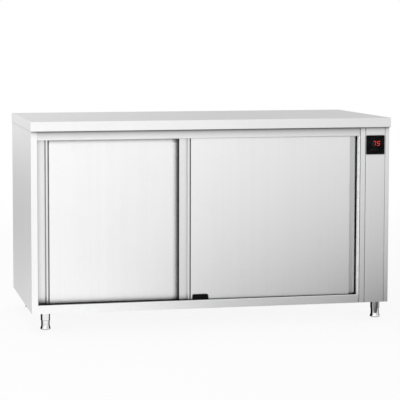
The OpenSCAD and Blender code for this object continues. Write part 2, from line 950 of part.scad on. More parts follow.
module cable_gland() {
    color(black)
        translate([gland_x, gland_y, 0])
            difference() {
                union() {
                    translate([0, 0, case_z - gland_l])
                        cylinder(h = gland_l - flange_t, d = gland_d + gland_nut_rim);
                    translate([0, 0, case_z - 2 * flange_t])
                        cylinder(h = 2 * flange_t, d = gland_d + 2 * gland_nut_rim, $fn = 6);
                    translate([0, 0, case_z - flange_t])
                        cylinder(h = 5 * flange_t, d = gland_d);
                    translate([0, 0, skin_z])
                        cylinder(h = 2 * flange_t, d = gland_d + 2 * gland_nut_rim, $fn = 6);
                }
                translate([0, 0, case_z - gland_l - flange_t])
                    cylinder(h = gland_l + 9 * flange_t, d = gland_bore);
            }
}

module bonding_stud() {
    color("goldenrod")
        translate([gland_x, stud_y, 0]) {
            translate([0, 0, case_z - stud_l])
                cylinder(h = stud_l + 3 * flange_t, d = stud_d);
            translate([0, 0, skin_z])
                cylinder(h = flange_t + sheet, d = 2 * stud_d, $fn = 6);
            translate([0, 0, case_z - flange_t])
                cylinder(h = flange_t, d = 2 * stud_d, $fn = 6);
        }
}

// Legs and screw feet

module leg_tubes() {
    color(bright)
        for (p = leg_places)
            translate([p[0], p[1], tube_z0])
                difference() {
                    cylinder(h = tube_top - tube_z0, d = leg_d);
                    translate([0, 0, -sheet])
                        cylinder(h = tube_top - tube_z0 + 2 * sheet, d = leg_d - 2 * leg_wall);
                }
}

module leg_sockets() {
    color(steel)
        for (p = leg_places)
            difference() {
                block(p[0] - socket_w / 2, p[0] + socket_w / 2, p[1] - socket_w / 2,
                    p[1] + socket_w / 2, skin_z, skin_z + flange_t);
                translate([p[0], p[1], case_z])
                    cylinder(h = 3 * flange_t, d = leg_d);
            }
}

module leg_bushes() {
    color(black)
        for (p = leg_places)
            translate([p[0], p[1], tube_z0])
                difference() {
                    cylinder(h = bush_h, d = leg_d - 2 * leg_wall);
                    translate([0, 0, -sheet])
                        cylinder(h = bush_h + 2 * sheet, d = stem_d + 2 * stem_clearance);
                }
}

// A turned foot: rounded sole, flared base and narrow waist, with its threaded stem
module foot(p) {
    r = foot_d / 2;
    waist = foot_waist_d / 2;
    sole = foot_d / 8;
    color(bright)
        translate([p[0], p[1], 0])
            rotate_extrude() {
                polygon(concat([[0, 0], [r - sole, 0], [r - sole, sole], [r, sole]],
                    [for (i = [0 : flare_steps])
                        [waist + (r - waist) * (1 + cos(180 * i / flare_steps)) / 2,
                            foot_rim_h + foot_flare_h * i / flare_steps]],
                    [[waist, foot_h], [stem_d / 2, foot_h], [stem_d / 2, foot_h + stem_l],
                        [0, foot_h + stem_l]]));
                translate([r - sole, sole])
                    intersection() {
                        circle(r = sole);
                        translate([0, -sole])
                            square([sole, sole]);
                    }
            }
}

module foot_front_left() { foot(leg_places[0]); }
module foot_front_right() { foot(leg_places[1]); }
module foot_back_left() { foot(leg_places[2]); }
module foot_back_right() { foot(leg_places[3]); }

// Doors: each is placed by its left edge and its front face

// The flat front sheet, with the step and the edge at the far side
module door_panel(x, y) {
    s = door_sheet;
    color(steel)
        translate([x, y, 0])
            upright(door_z0, door_z1) {
                plate(panel_x, step_x, 0, s);
                plate(step_x - s, step_x, 0, grip_depth + s);
                plate(step_x - s, door_w, grip_depth, grip_depth + s);
                plate(door_w - s, door_w, grip_depth, door_t - s);
            }
}

// The folded grip: edge, channel floor, slanted wall, lip and dark slot
module door_grip(x, y) {
    s = door_sheet;
    color(steel)
        translate([x, y, 0])
            upright(door_z0, door_z1) {
                plate(0, s, grip_depth, door_t - s);
                plate(0, grip_floor_w + s, grip_depth, grip_depth + s);
                polygon([[grip_floor_w, grip_depth], [grip_lip_x, grip_lip_drop],
                    [grip_lip_x + s, grip_lip_drop + s], [grip_floor_w + s, grip_depth + s]]);
                plate(grip_lip_x, grip_slot_x, grip_lip_drop, grip_lip_drop + s);
                plate(grip_slot_x - s, grip_slot_x, grip_lip_drop, grip_depth + s);
                plate(grip_slot_x - s, panel_x + s, grip_depth, grip_depth + s);
                plate(panel_x, panel_x + s, s, grip_depth + s);
            }
}

module door_liner(x, y) {
    color(steel)
        block(x, x + door_w, y + door_t - door_sheet, y + door_t, door_z0, door_z1);
}

// The insulating core between the panel and the liner
module door_core(x, y) {
    s = door_sheet;
    color(wool)
        translate([x, y, 0])
            upright(door_z0, door_z1) {
                plate(s, door_w - s, grip_depth + s, door_t - s);
                plate(panel_x + s, step_x - s, s, grip_depth + 2 * s);
            }
}

// A hanger with its riveted axle, for the wheel at x
module door_hanger(x, y) {
    plate_y = y + hanger_setback;
    wheel_face = y + wheel_y - wheel_w / 2;
    block(x - hanger_w / 2, x + hanger_w / 2, y + 2 * door_sheet, y + door_t - 2 * door_sheet,
        door_z1, door_z1 + hanger_t);
    block(x - hanger_w / 3, x + hanger_w / 3, plate_y, plate_y + hanger_t,
        door_z1, hanger_top);
    rod_y(x, plate_y - hanger_t, wheel_face - wheel_side_gap, wheel_z, axle_d + 2 * axle_rim);
    rod_y(x, plate_y, wheel_face + wheel_w + 2 * wheel_side_gap, wheel_z, axle_d);
    rod_y(x, wheel_face + wheel_w + wheel_side_gap, wheel_face + wheel_w + 3 * wheel_side_gap,
        wheel_z, axle_d + 2 * axle_rim);
}

module door_hangers(x, y) {
    color(bright) {
        door_hanger(x + wheel_inset, y);
        door_hanger(x + door_w - wheel_inset, y);
    }
}

// A flat-tread wheel with its bore
module door_wheel(x, y) {
    y0 = y + wheel_y - wheel_w / 2;
    color("whitesmoke")
        difference() {
            rod_y(x, y0, y0 + wheel_w, wheel_z, wheel_d);
            rod_y(x, y0 - sheet, y0 + wheel_w + sheet, wheel_z, axle_d + 2 * axle_clearance);
        }
}

module left_door_panel() { door_panel(left_door_x, rear_door_y); }
module left_door_grip() { door_grip(left_door_x, rear_door_y); }
module left_door_liner() { door_liner(left_door_x, rear_door_y); }
module left_door_core() { door_core(left_door_x, rear_door_y); }
module left_door_hangers() { door_hangers(left_door_x, rear_door_y); }
module left_door_wheel_a() { door_wheel(left_door_x + wheel_inset, rear_door_y); }
module left_door_wheel_b() { door_wheel(left_door_x + door_w - wheel_inset, rear_door_y); }
module right_door_panel() { door_panel(right_door_x, front_door_y); }
module right_door_grip() { door_grip(right_door_x, front_door_y); }
module right_door_liner() { door_liner(right_door_x, front_door_y); }
module right_door_core() { door_core(right_door_x, front_door_y); }
module right_door_hangers() { door_hangers(right_door_x, front_door_y); }
module right_door_wheel_a() { door_wheel(right_door_x + wheel_inset, front_door_y); }
module right_door_wheel_b() { door_wheel(right_door_x + door_w - wheel_inset, front_door_y); }

worktop();
worktop_core();
left_side_panel();
right_side_panel();
back_panel();
top_rail();
bottom_rail();
jamb_post();
underside_pan();
floor_pan();
inner_left_wall();
inner_back_wall();
chamber_ceiling();
bay_partition();
insulation_slabs();
control_cover();
controller_case();
controller_bezel();
display_window();
mounting_rail();
terminal_block();
contactor();
safety_thermostat();
temperature_probe();
shelf();
shelf_bearers();
door_track();
sill_strip();
door_guide();
jamb_seals();
heater_plenum();
heating_element();
fan_guard();
fan_motor();
motor_shaft();
fan_wheel();
cable_gland();
bonding_stud();
back_panel_screws();
leg_tubes();
leg_sockets();
leg_bushes();
foot_front_left();
foot_front_right();
foot_back_left();
foot_back_right();
left_door_panel();
left_door_grip();
left_door_liner();
left_door_core();
left_door_hangers();
left_door_wheel_a();
left_door_wheel_b();
right_door_panel();
right_door_grip();
right_door_liner();
right_door_core();
right_door_hangers();
right_door_wheel_a();
right_door_wheel_b();
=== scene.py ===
"""Looks of the plate warmer cabinet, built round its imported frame.

The sheet steel is folded here with real bend radii, the doors carry their folded grips,
and every surface has a procedural finish. Metres; the place of each piece is read from
the frame's nodes, and sizes that only the looks need are named in millimetres.
"""
import math
from collections import namedtuple

import bmesh
import bpy
from mathutils import Matrix, Vector


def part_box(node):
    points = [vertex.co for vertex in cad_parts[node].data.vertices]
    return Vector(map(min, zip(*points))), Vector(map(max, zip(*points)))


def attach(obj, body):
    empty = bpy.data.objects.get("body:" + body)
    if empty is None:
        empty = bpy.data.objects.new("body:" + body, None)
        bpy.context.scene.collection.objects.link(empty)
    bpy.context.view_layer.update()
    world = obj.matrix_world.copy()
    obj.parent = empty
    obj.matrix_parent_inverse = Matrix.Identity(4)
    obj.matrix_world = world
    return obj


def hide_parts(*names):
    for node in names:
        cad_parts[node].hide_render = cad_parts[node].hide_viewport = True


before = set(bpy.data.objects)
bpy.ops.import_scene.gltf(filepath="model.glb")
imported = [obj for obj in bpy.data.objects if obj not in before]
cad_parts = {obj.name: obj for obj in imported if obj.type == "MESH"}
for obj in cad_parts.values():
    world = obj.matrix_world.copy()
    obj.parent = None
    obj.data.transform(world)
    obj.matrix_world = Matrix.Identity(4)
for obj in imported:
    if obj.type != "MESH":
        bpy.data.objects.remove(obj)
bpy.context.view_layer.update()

MM = 0.001
QUARTER = math.pi / 2       # a quarter turn
SHARP = math.radians(32)    # folds beyond this angle stay crisp

# ---- Sizes of the sheet metal ----
SHEET = 1.2 * MM            # case and worktop sheet
DOOR_SHEET = 1.0 * MM       # door sheet
BEND = 1.0 * MM             # inside radius of a fold
BEND_STEPS = 5              # facets in a fold
COVER_BEND = 5.0 * MM       # inside radius of the control cover's right fold
TIGHT_BEND = 0.3 * MM       # inside radius of the right side panel's front fold
RETURN = 18.0 * MM          # depth of the stiffening returns
RAIL_HEM = 5.0 * MM         # depth of the bottom rail's top hem
RAIL_TAIL = 12.0 * MM       # height of its rear edge over the underside pan
TOP_HEM = 12.0 * MM         # depth of the top rail's lower hem
WORKTOP_LIP = 24.0 * MM
WORKTOP_EDGE = 2.2 * MM     # rounding of the worktop's edges
JAMB_WIDTH = 3.9 * MM       # front edge of the jamb, up to the groove beside it
JAMB_GROOVE_W = 1.8 * MM
JAMB_GROOVE_D = 2.2 * MM
GROOVE_BEND = 0.1 * MM

# Door section, from the door's left edge and its face
GRIP_DEPTH = 10.0 * MM
GRIP_FLOOR = 30.5 * MM
GRIP_LIP_0 = 34.0 * MM
GRIP_LIP_1 = 41.8 * MM
GRIP_LIP_DROP = 1.0 * MM
GRIP_BEND = 0.3 * MM
PANEL_0 = 46.0 * MM
PANEL_TUCK = 0.5 * MM       # play between the panel's return and the grip's floor
PANEL_BEND = 0.8 * MM
DOOR_STEP = 27.0 * MM       # width of the step at the door's other edge

# ---- Node helpers ----
FLOAT, VECTOR = "NodeSocketFloat", "NodeSocketVector"


def fill(tree, node, values):
    """Sets a node's inputs, by name or number, to constants or to other nodes' outputs."""
    for key, value in values.items():
        if isinstance(value, bpy.types.NodeSocket):
            tree.links.new(value, node.inputs[key])
        else:
            node.inputs[key].default_value = value
    return node


def put(tree, kind, values=None, **settings):
    """Adds a node of a kind with its settings, and fills its inputs."""
    made = tree.nodes.new(kind)
    for key, value in settings.items():
        setattr(made, key, value)
    return fill(tree, made, values or {})


def calc(tree, operation, a, b=0.0, clamp=False):
    return put(tree, "ShaderNodeMath", {0: a, 1: b}, operation=operation,
               use_clamp=clamp).outputs[0]


def product(tree, a, b):
    return calc(tree, "MULTIPLY", a, b)


def total(tree, a, b):
    return calc(tree, "ADD", a, b)


def vector_calc(tree, operation, a, b=(0.0, 0.0, 0.0)):
    made = put(tree, "ShaderNodeVectorMath", {0: a, 1: b}, operation=operation)
    return made.outputs["Value" if operation == "LENGTH" else "Vector"]


def axis(tree, place, number):
    """One coordinate of a place."""
    return put(tree, "ShaderNodeSeparateXYZ", {0: place}).outputs[number]


def mix_colour(tree, share, a, b):
    return put(tree, "ShaderNodeMix", {0: share, 6: a, 7: b}, data_type="RGBA").outputs[2]


def remap(tree, value, low, high, to_low=0.0, to_high=1.0):
    """A value moved from one span to another and held within it."""
    return put(tree, "ShaderNodeMapRange", {0: value, 1: low, 2: high, 3: to_low, 4: to_high},
               clamp=True).outputs[0]


def noise(tree, place, scale, detail, rough=0.5, twist=0.0):
    return put(tree, "ShaderNodeTexNoise", {"Vector": place, "Scale": scale, "Detail": detail,
                                            "Roughness": rough, "Distortion": twist}).outputs[0]


def bump(tree, height, strength, distance):
    return put(tree, "ShaderNodeBump", {"Height": height, "Strength": strength,
                                        "Distance": distance}).outputs[0]


def rgba(r, g=None, b=None):
    """A linear colour; one number gives a grey."""
    return (r, r if g is None else g, r if b is None else b, 1.0)


def new_group(name, inputs, outputs):
    """A shader node group: its tree, its inputs' sockets and its output node."""
    tree = bpy.data.node_groups.new(name, "ShaderNodeTree")
    for label, kind, value in inputs:
        socket = tree.interface.new_socket(label, in_out="INPUT", socket_type=kind)
        if value is not None:
            socket.default_value = value
    for label in outputs:
        tree.interface.new_socket(label, in_out="OUTPUT", socket_type=FLOAT)
    return tree, put(tree, "NodeGroupInput").outputs, put(tree, "NodeGroupOutput")


def make_brushed_grain():
    """Grain of brushed sheet: long fine scratches along one axis, with broad pale bands."""
    tree, ins, out = new_group(
        "brushed_grain", [("Vector", VECTOR, None), ("Stretch", VECTOR, (12.0, 1500.0, 1500.0))],
        ["Tone", "Height"])
    drawn = vector_calc(tree, "MULTIPLY", ins["Vector"], ins["Stretch"])
    fine = noise(tree, drawn, 1.0, 3.0, 0.6)
    bands = noise(tree, drawn, 0.035, 3.0, 0.7)
    both = total(tree, product(tree, fine, 0.45), product(tree, bands, 0.55))
    fill(tree, out, {"Tone": remap(tree, both, 0.32, 0.68), "Height": fine})
    return tree


def make_smudges():
    """Wiped-over marks: soft patches, crossed by faint cloth swirls."""
    tree, ins, out = new_group("smudges", [("Vector", VECTOR, None), ("Size", FLOAT, 5.0)],
                               ["Mask"])
    patches = noise(tree, ins["Vector"], ins["Size"], 4.0, 0.55, 0.6)
    swirls = noise(tree, ins["Vector"], product(tree, ins["Size"], 6.0), 2.0, 0.5, 2.5)
    fill(tree, out, {"Mask": product(tree, remap(tree, patches, 0.42, 0.70),
                                     remap(tree, swirls, 0.35, 0.75))})
    return tree


def make_moulding_grain():
    """Spark-eroded skin of a moulded part."""
    tree, ins, out = new_group("moulding_grain",
                               [("Vector", VECTOR, None), ("Size", FLOAT, 900.0)],
                               ["Tone", "Height"])
    pits = put(tree, "ShaderNodeTexVoronoi", {"Vector": ins["Vector"], "Scale": ins["Size"]},
               feature="SMOOTH_F1").outputs[0]
    fill(tree, out, {"Tone": noise(tree, ins["Vector"], 40.0, 3.0), "Height": pits})
    return tree


def make_edge_rub():
    """Bright rub along convex edges, broken up so that it looks handled."""
    tree, ins, out = new_group("edge_rub", [("Vector", VECTOR, None), ("Reach", FLOAT, 0.55)],
                               ["Mask"])
    edge = put(tree, "ShaderNodeNewGeometry").outputs["Pointiness"]
    fill(tree, out, {"Mask": product(tree, remap(tree, edge, 0.5, ins["Reach"]),
                                     noise(tree, ins["Vector"], 60.0, 3.0))})
    return tree


BRUSHED_GRAIN = make_brushed_grain()
SMUDGES = make_smudges()
MOULDING_GRAIN = make_moulding_grain()
EDGE_RUB = make_edge_rub()


def use_group(tree, group, values):
    return put(tree, "ShaderNodeGroup", values, node_tree=group).outputs


def empty_material(name):
    """A material with an empty tree: itself, the tree and its object coordinates."""
    made = bpy.data.materials.new(name)
    made.use_nodes = True
    made.node_tree.nodes.clear()
    return made, made.node_tree, put(made.node_tree, "ShaderNodeTexCoord").outputs["Object"]


def new_material(name, colour):
    """A material with one Principled shader: itself, tree, shader, object coordinates."""
    made, tree, place = empty_material(name)
    made.diffuse_color = colour
    shader = put(tree, "ShaderNodeBsdfPrincipled")
    put(tree, "ShaderNodeOutputMaterial", {0: shader.outputs[0]})
    return made, tree, shader, place


# ---- Materials ----
STEEL_LIGHT = rgba(0.885)
STEEL_DARK = rgba(0.85)
GRAIN_ALONG = {"x": (10.0, 1500.0, 1500.0), "y": (1500.0, 10.0, 1500.0),
               "z": (1500.0, 1500.0, 10.0)}

# Painted shade: the sheet's colour is darkened beside seams and neighbours and inside grooves,
# by how little free view it has. depth is the most it darkens, reach how far from a neighbour in
# millimetres, closed and open the shares of free view between which it clears, and towards leans
# the search to one side, so that the painted shade falls on one side of an edge.
PaintedShade = namedtuple("PaintedShade", "depth reach closed open towards", defaults=[(0.0, 0.0, 0.0)])
CASE_PAINTED_SHADE = PaintedShade(0.95, 30, 0.50, 0.98)
RAIL_PAINTED_SHADE = PaintedShade(0.85, 38, 0.30, 0.90, (0.0, 0.0, 0.7))
REAR_DOOR_PAINTED_SHADE = PaintedShade(0.93, 30, 0.50, 0.75, (0.8, 0.0, 0.8))
FRONT_DOOR_PAINTED_SHADE = PaintedShade(0.97, 16, 0.38, 0.80, (0.0, 0.0, 0.5))
STEP_PAINTED_SHADE = PaintedShade(0.97, 12, 0.45, 0.80, (0.5, 0.0, 0.0))
GRIP_PAINTED_SHADE = PaintedShade(0.82, 30, 0.05, 0.90)


def add_painted_shade(tree, tone, shade_setting):
    """Paints shade into a tone: darker where the sheet has a neighbour close by."""
    face = put(tree, "ShaderNodeNewGeometry").outputs["Normal"]
    lean = vector_calc(tree, "NORMALIZE", vector_calc(tree, "ADD", face, shade_setting.towards))
    free = put(tree, "ShaderNodeAmbientOcclusion",
               {"Distance": shade_setting.reach * MM, "Normal": lean}, samples=20).outputs["AO"]
    shade_share = remap(tree, free, shade_setting.closed, shade_setting.open, shade_setting.depth, 0.0)
    return mix_colour(tree, shade_share, tone, rgba(0.02, 0.02, 0.022))


def brushed_steel(name, along, rough, shade_setting=CASE_PAINTED_SHADE, light=STEEL_LIGHT, dark=STEEL_DARK):
    """Brushed stainless with its grain along an axis, wiped and lightly handled, and with painted
    shade beside its neighbours.
    """
    made, tree, shader, place = new_material(name, light)
    grain = use_group(tree, BRUSHED_GRAIN, {"Vector": place, "Stretch": GRAIN_ALONG[along]})
    marks = use_group(tree, SMUDGES, {"Vector": place, "Size": 3.0})["Mask"]
    tone = mix_colour(tree, grain["Tone"], dark, light)
    wiped = mix_colour(tree, product(tree, marks, 0.05), tone, rgba(0.45, 0.45, 0.46))
    drawn = remap(tree, grain["Tone"], 0.0, 1.0, rough + 0.012, rough - 0.012)
    fill(tree, shader, {"Base Color": add_painted_shade(tree, wiped, shade_setting), "Metallic": 1.0,
                        "Roughness": total(tree, drawn, product(tree, marks, 0.04)),
                        "Normal": bump(tree, grain["Height"], 0.08, 0.00005)})
    return made


def polished_metal(name, light, dark, rough):
    """Turned and polished metal with hairline turning marks."""
    made, tree, shader, place = new_material(name, light)
    grain = use_group(tree, BRUSHED_GRAIN, {"Vector": place, "Stretch": (40.0, 40.0, 2500.0)})
    marks = use_group(tree, SMUDGES, {"Vector": place, "Size": 30.0})["Mask"]
    fill(tree, shader, {"Base Color": mix_colour(tree, grain["Tone"], dark, light),
                        "Metallic": 1.0,
                        "Roughness": remap(tree, marks, 0.0, 1.0, rough, rough + 0.04),
                        "Normal": bump(tree, grain["Height"], 0.05, 0.00003)})
    return made


def moulded_plastic(name, light, dark, rough, skin=0.15, size=900.0, rub=None, gloss=0.4):
    """Moulded plastic or rubber: fine eroded skin and haze, with rubbed edges if rub is set."""
    made, tree, shader, place = new_material(name, light)
    grain = use_group(tree, MOULDING_GRAIN, {"Vector": place, "Size": size})
    body = mix_colour(tree, grain["Tone"], dark, light)
    if rub is not None:
        worn = use_group(tree, EDGE_RUB, {"Vector": place, "Reach": 0.56})
        body = mix_colour(tree, worn["Mask"], body, rub)
    fill(tree, shader, {
        "Base Color": body, "Specular IOR Level": gloss,
        "Roughness": remap(tree, grain["Tone"], 0.3, 0.7, rough - 0.06, rough + 0.06),
        "Normal": bump(tree, grain["Height"], skin, 0.0001)})
    return made


def gloss_black(name, colour, rough, gloss):
    """Gloss black window or frame with a few fingermarks in its gloss."""
    made, tree, shader, place = new_material(name, colour)
    marks = use_group(tree, SMUDGES, {"Vector": place, "Size": 45.0})["Mask"]
    fill(tree, shader, {"Base Color": mix_colour(tree, marks, colour, rgba(0.02)),
                        "Specular IOR Level": gloss,
                        "Roughness": remap(tree, marks, 0.0, 1.0, rough, rough + 0.12)})
    return made


def lit_segment(name, colour, strength):
    """A glowing or sleeping segment behind its diffuser."""
    made, tree, shader, place = new_material(name, colour)
    dim = rgba(*[0.6 * part for part in colour[:3]])
    tone = mix_colour(tree, noise(tree, place, 220.0, 1.0), dim, colour)
    fill(tree, shader, {"Base Color": tone, "Roughness": 0.35, "Emission Color": tone,
                        "Emission Strength": strength})
    return made


def mineral_wool(name):
    """Pale mineral wool: matted fibres in clumps."""
    made, tree, shader, place = new_material(name, rgba(0.62, 0.55, 0.36))
    clumps = noise(tree, place, 60.0, 6.0, 0.7)
    tone = mix_colour(tree, clumps, rgba(0.46, 0.38, 0.22), rgba(0.74, 0.68, 0.50))
    fill(tree, shader, {"Base Color": tone, "Roughness": 0.95,
                        "Normal": bump(tree, clumps, 0.6, 0.002)})
    return made


def chipboard(name):
    """Raw chipboard: flat flakes in two tones."""
    made, tree, shader, place = new_material(name, rgba(0.45, 0.31, 0.18))
    flakes = put(tree, "ShaderNodeTexVoronoi", {"Vector": place, "Scale": 260.0}).outputs[1]
    share = put(tree, "ShaderNodeRGBToBW", {0: flakes}).outputs[0]
    tone = mix_colour(tree, share, rgba(0.34, 0.22, 0.12), rgba(0.56, 0.42, 0.27))
    fill(tree, shader, {"Base Color": tone, "Roughness": 0.85})
    return made


steel_x = brushed_steel("steel_grain_x", "x", 0.34, RAIL_PAINTED_SHADE)
steel_y = brushed_steel("steel_grain_y", "y", 0.36)
steel_z = brushed_steel("steel_grain_z", "z", 0.34)
# The two door steels differ only in painted shade: the rear door's leans right, so it darkens beside
# the front door's edge.
rear_door_steel = brushed_steel("rear_door_steel", "z", 0.32, REAR_DOOR_PAINTED_SHADE)
front_door_steel = brushed_steel("front_door_steel", "z", 0.32, FRONT_DOOR_PAINTED_SHADE)
# A darker copy of the door steel for the step at the door's edge: painted shade in the recess.
shaded_step_steel = brushed_steel("shaded_step_steel", "z", 0.30, STEP_PAINTED_SHADE, rgba(0.62), rgba(0.58))
# A darker copy of the door steel for the folded grips: painted shade in their recess.
shaded_grip_steel = brushed_steel("shaded_grip_steel", "z", 0.32, GRIP_PAINTED_SHADE, rgba(0.80), rgba(0.77))
# A near-white non-metal for the steel jamb's face: a painted highlight.
jamb_highlight_white = moulded_plastic("jamb_highlight_white", rgba(0.96), rgba(0.94), 0.28, skin=0.05,
                              size=300.0, gloss=1.0)
polished_steel = polished_metal("polished_steel", rgba(0.80, 0.80, 0.81), rgba(0.74, 0.74, 0.75), 0.12)
zinc_plate = polished_metal("zinc_plate", rgba(0.55, 0.57, 0.60), rgba(0.46, 0.48, 0.51), 0.28)
brass_metal = polished_metal("brass_metal", rgba(0.72, 0.52, 0.20), rgba(0.62, 0.43, 0.15), 0.22)
heater_metal = polished_metal("heater_sheath", rgba(0.16, 0.15, 0.14), rgba(0.09, 0.085, 0.08), 0.45)
black_plastic = moulded_plastic("black_plastic", rgba(0.004), rgba(0.002), 0.50,
                                rub=rgba(0.01), gloss=0.03)
black_rubber = moulded_plastic("black_rubber", rgba(0.006), rgba(0.003), 0.75, skin=0.25,
                               size=1400.0, gloss=0.03)
grey_plastic = moulded_plastic("grey_plastic", rgba(0.22, 0.23, 0.24), rgba(0.18, 0.19, 0.20), 0.45)
ivory_plastic = moulded_plastic("ivory_plastic", rgba(0.62, 0.58, 0.47), rgba(0.56, 0.52, 0.42), 0.42)
white_nylon = moulded_plastic("white_nylon", rgba(0.72, 0.72, 0.69), rgba(0.66, 0.66, 0.63), 0.35)
motor_enamel = moulded_plastic("motor_enamel", rgba(0.12, 0.14, 0.17), rgba(0.09, 0.105, 0.13), 0.35,
                               size=400.0)
gloss_frame = gloss_black("gloss_frame", rgba(0.003), 0.16, 0.10)
window_glass = gloss_black("window_glass", rgba(0.0015), 0.08, 0.05)
red_segment = lit_segment("red_segment", rgba(0.75, 0.02, 0.02), 0.9)
dark_segment = lit_segment("dark_segment", rgba(0.010, 0.006, 0.006), 0.0)
pale_mark = lit_segment("pale_mark", rgba(0.10, 0.13, 0.12), 0.25)
wool = mineral_wool("mineral_wool")
board = chipboard("chipboard")


# ---- Meshes ----
def new_object(name, data):
    made = bpy.data.objects.new(name, data)
    bpy.context.scene.collection.objects.link(made)
    return made


def baked(made, layers=True):
    """The plain mesh of an object's evaluated shape; its modifiers are removed."""
    bpy.context.view_layer.update()
    graph = bpy.context.evaluated_depsgraph_get()
    plain = bpy.data.meshes.new_from_object(made.evaluated_get(graph),
                                            preserve_all_data_layers=layers, depsgraph=graph)
    made.modifiers.clear()
    return plain


def to_mesh(bm, name):
    """A mesh from a bmesh, its doubles merged and its faces turned outwards."""
    bmesh.ops.remove_doubles(bm, verts=bm.verts, dist=1e-7)
    bmesh.ops.recalc_face_normals(bm, faces=bm.faces)
    mesh = bpy.data.meshes.new(name)
    bm.to_mesh(mesh)
    bm.free()
    return mesh


def piece(name, shape, material, node, body="cabinet", modifiers=()):
    """A finished piece in place of a node, from a mesh or bmesh, smooth where it bends."""
    mesh = shape if isinstance(shape, bpy.types.Mesh) else to_mesh(shape, name)
    made = new_object(name, mesh)
    for kind, settings in modifiers:
        step = made.modifiers.new(kind, kind)
        for key, value in settings.items():
            setattr(step, key, value)
    mesh.shade_smooth()
    mesh.set_sharp_from_angle(angle=SHARP)
    made.modifiers.new("weighted", "WEIGHTED_NORMAL").keep_sharp = True
    made.data = baked(made)
    made.data.name = name
    bpy.data.meshes.remove(mesh)
    made.data.materials.clear()
    made.data.materials.append(material)
    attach(made, body)
    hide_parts(node)
    return made


def bevel(width, segments=3):
    return ("BEVEL", {"width": width, "segments": segments, "limit_method": "ANGLE",
                      "angle_limit": math.radians(40)})


SHEET_WALL = ("SOLIDIFY", {"thickness": SHEET, "offset": -1.0, "use_even_offset": True})


def arc(centre, radius, start, sweep, steps):
    """Points along an arc with both its ends, anticlockwise from an angle."""
    return [(centre[0] + radius * math.cos(start + sweep * k / steps),
             centre[1] + radius * math.sin(start + sweep * k / steps))
            for k in range(steps + 1)]


def circle(centre, radius, steps):
    return arc(centre, radius, 0.0, math.tau, steps)[:-1]


def rounded_rectangle(width, height, radius):
    """Corner points of a rectangle with round corners, centred, anticlockwise."""
    points = []
    for quarter, (sx, sy) in enumerate(((1, 1), (-1, 1), (-1, -1), (1, -1))):
        points += arc((sx * (width / 2 - radius), sy * (height / 2 - radius)), radius,
                      quarter * QUARTER, QUARTER, 6)
    return points


def skin(bm, rings, closed=False):
    """Joins each ring of points to the next with faces; a ring of one point is a pole."""
    for one, two in zip(rings, rings[1:] + rings[:1] if closed else rings[1:]):
        count = max(len(one), len(two))
        for k in range(count):
            n = (k + 1) % count
            corners = (one[k % len(one)], one[n % len(one)], two[n % len(two)],
                       two[k % len(two)])
            bm.faces.new(list(dict.fromkeys(corners)))


def lathe(bm, profile, centre, closed=False, steps=64):
    """Adds a turned shape: (radius, height) points turned about Z; radius 0 is a pole."""
    rings = []
    for radius, height in profile:
        ring = circle(centre, radius, steps) if radius else [centre]
        rings.append([bm.verts.new((*spot, height)) for spot in ring])
    skin(bm, rings, closed)


def add_prism(bm, outline, place, low, high):
    """Adds a closed prism: outline points, put in space by place(u, v, w)."""
    rings = [[bm.verts.new(place(u, v, w)) for u, v in outline] for w in (low, high)]
    bm.faces.new(rings[0][::-1])
    bm.faces.new(rings[1])
    skin(bm, rings)


def add_block(bm, low, high):
    """Adds a closed box between two corners."""
    size = Vector(high) - Vector(low)
    middle = (Vector(high) + Vector(low)) / 2
    bmesh.ops.create_cube(bm, size=1.0,
                          matrix=Matrix.Translation(middle) @ Matrix.Diagonal((*size, 1.0)))


def left_of(direction):
    return Vector((-direction.y, direction.x))


def fold_line(corners, thick, side, inner, closed):
    """Face and back points of a folded sheet, with the number of the corner of each."""
    points = [Vector(c) for c in corners]
    count = len(points)
    radii = inner if isinstance(inner, list) else [inner] * count
    rows = []
    for i, corner in enumerate(points):
        before = points[i - 1] if closed or i else None
        after = points[(i + 1) % count] if closed or i < count - 1 else None
        if before is None or after is None:
            along = ((after - corner) if before is None else (corner - before)).normalized()
            rows.append((corner, corner + left_of(along) * side * thick, i))
            continue
        a = (corner - before).normalized()
        b = (after - corner).normalized()
        turn = math.atan2(a.x * b.y - a.y * b.x, a.dot(b))
        way = 1 if turn > 0 else -1
        radius = radii[i] + thick if way == side else radii[i]
        centre = corner - a * radius * math.tan(abs(turn) / 2) + left_of(a) * way * radius
        for k in range(BEND_STEPS + 1):
            along = Matrix.Rotation(turn * k / BEND_STEPS, 2) @ a
            face = centre - left_of(along) * way * radius
            rows.append((face, face + left_of(along) * side * thick, i))
    return rows


def folded_piece(name, material, node, corners, start, end, axis="z", body="cabinet",
                 thick=SHEET, side=1, inner=BEND, closed=False, starts=None):
    """A piece of folded sheet: a section in two axes, drawn out along the third.

    axis "x" takes (y, z) corners and axis "z" takes (x, y) corners. inner is the inside
    radius of the folds, or a list with one for each corner. starts may give each corner its
    own lower end.
    """
    bm = bmesh.new()
    rings = []
    for face, back, corner in fold_line(corners, thick, side, inner, closed):
        low = starts[corner] if starts else start
        spots = ((face, low), (face, end), (back, end), (back, low))
        rings.append([bm.verts.new((w, *spot) if axis == "x" else (*spot, w))
                      for spot, w in spots])
    skin(bm, rings, closed)
    if not closed:
        bm.faces.new(rings[0])
        bm.faces.new(rings[-1][::-1])
    return piece(name, bm, material, node, body)


# ---- Geometry Nodes: slotted sheets and rows of like parts ----
def geometry_tree(name, inputs):
    """A Geometry Nodes tree with a geometry in and out and named inputs."""
    tree = bpy.data.node_groups.new(name, "GeometryNodeTree")
    tree.interface.new_socket("Geometry", in_out="INPUT", socket_type="NodeSocketGeometry")
    for label, kind in inputs:
        tree.interface.new_socket(label, in_out="INPUT", socket_type=kind)
    tree.interface.new_socket("Geometry", in_out="OUTPUT", socket_type="NodeSocketGeometry")
    return tree, put(tree, "NodeGroupInput").outputs


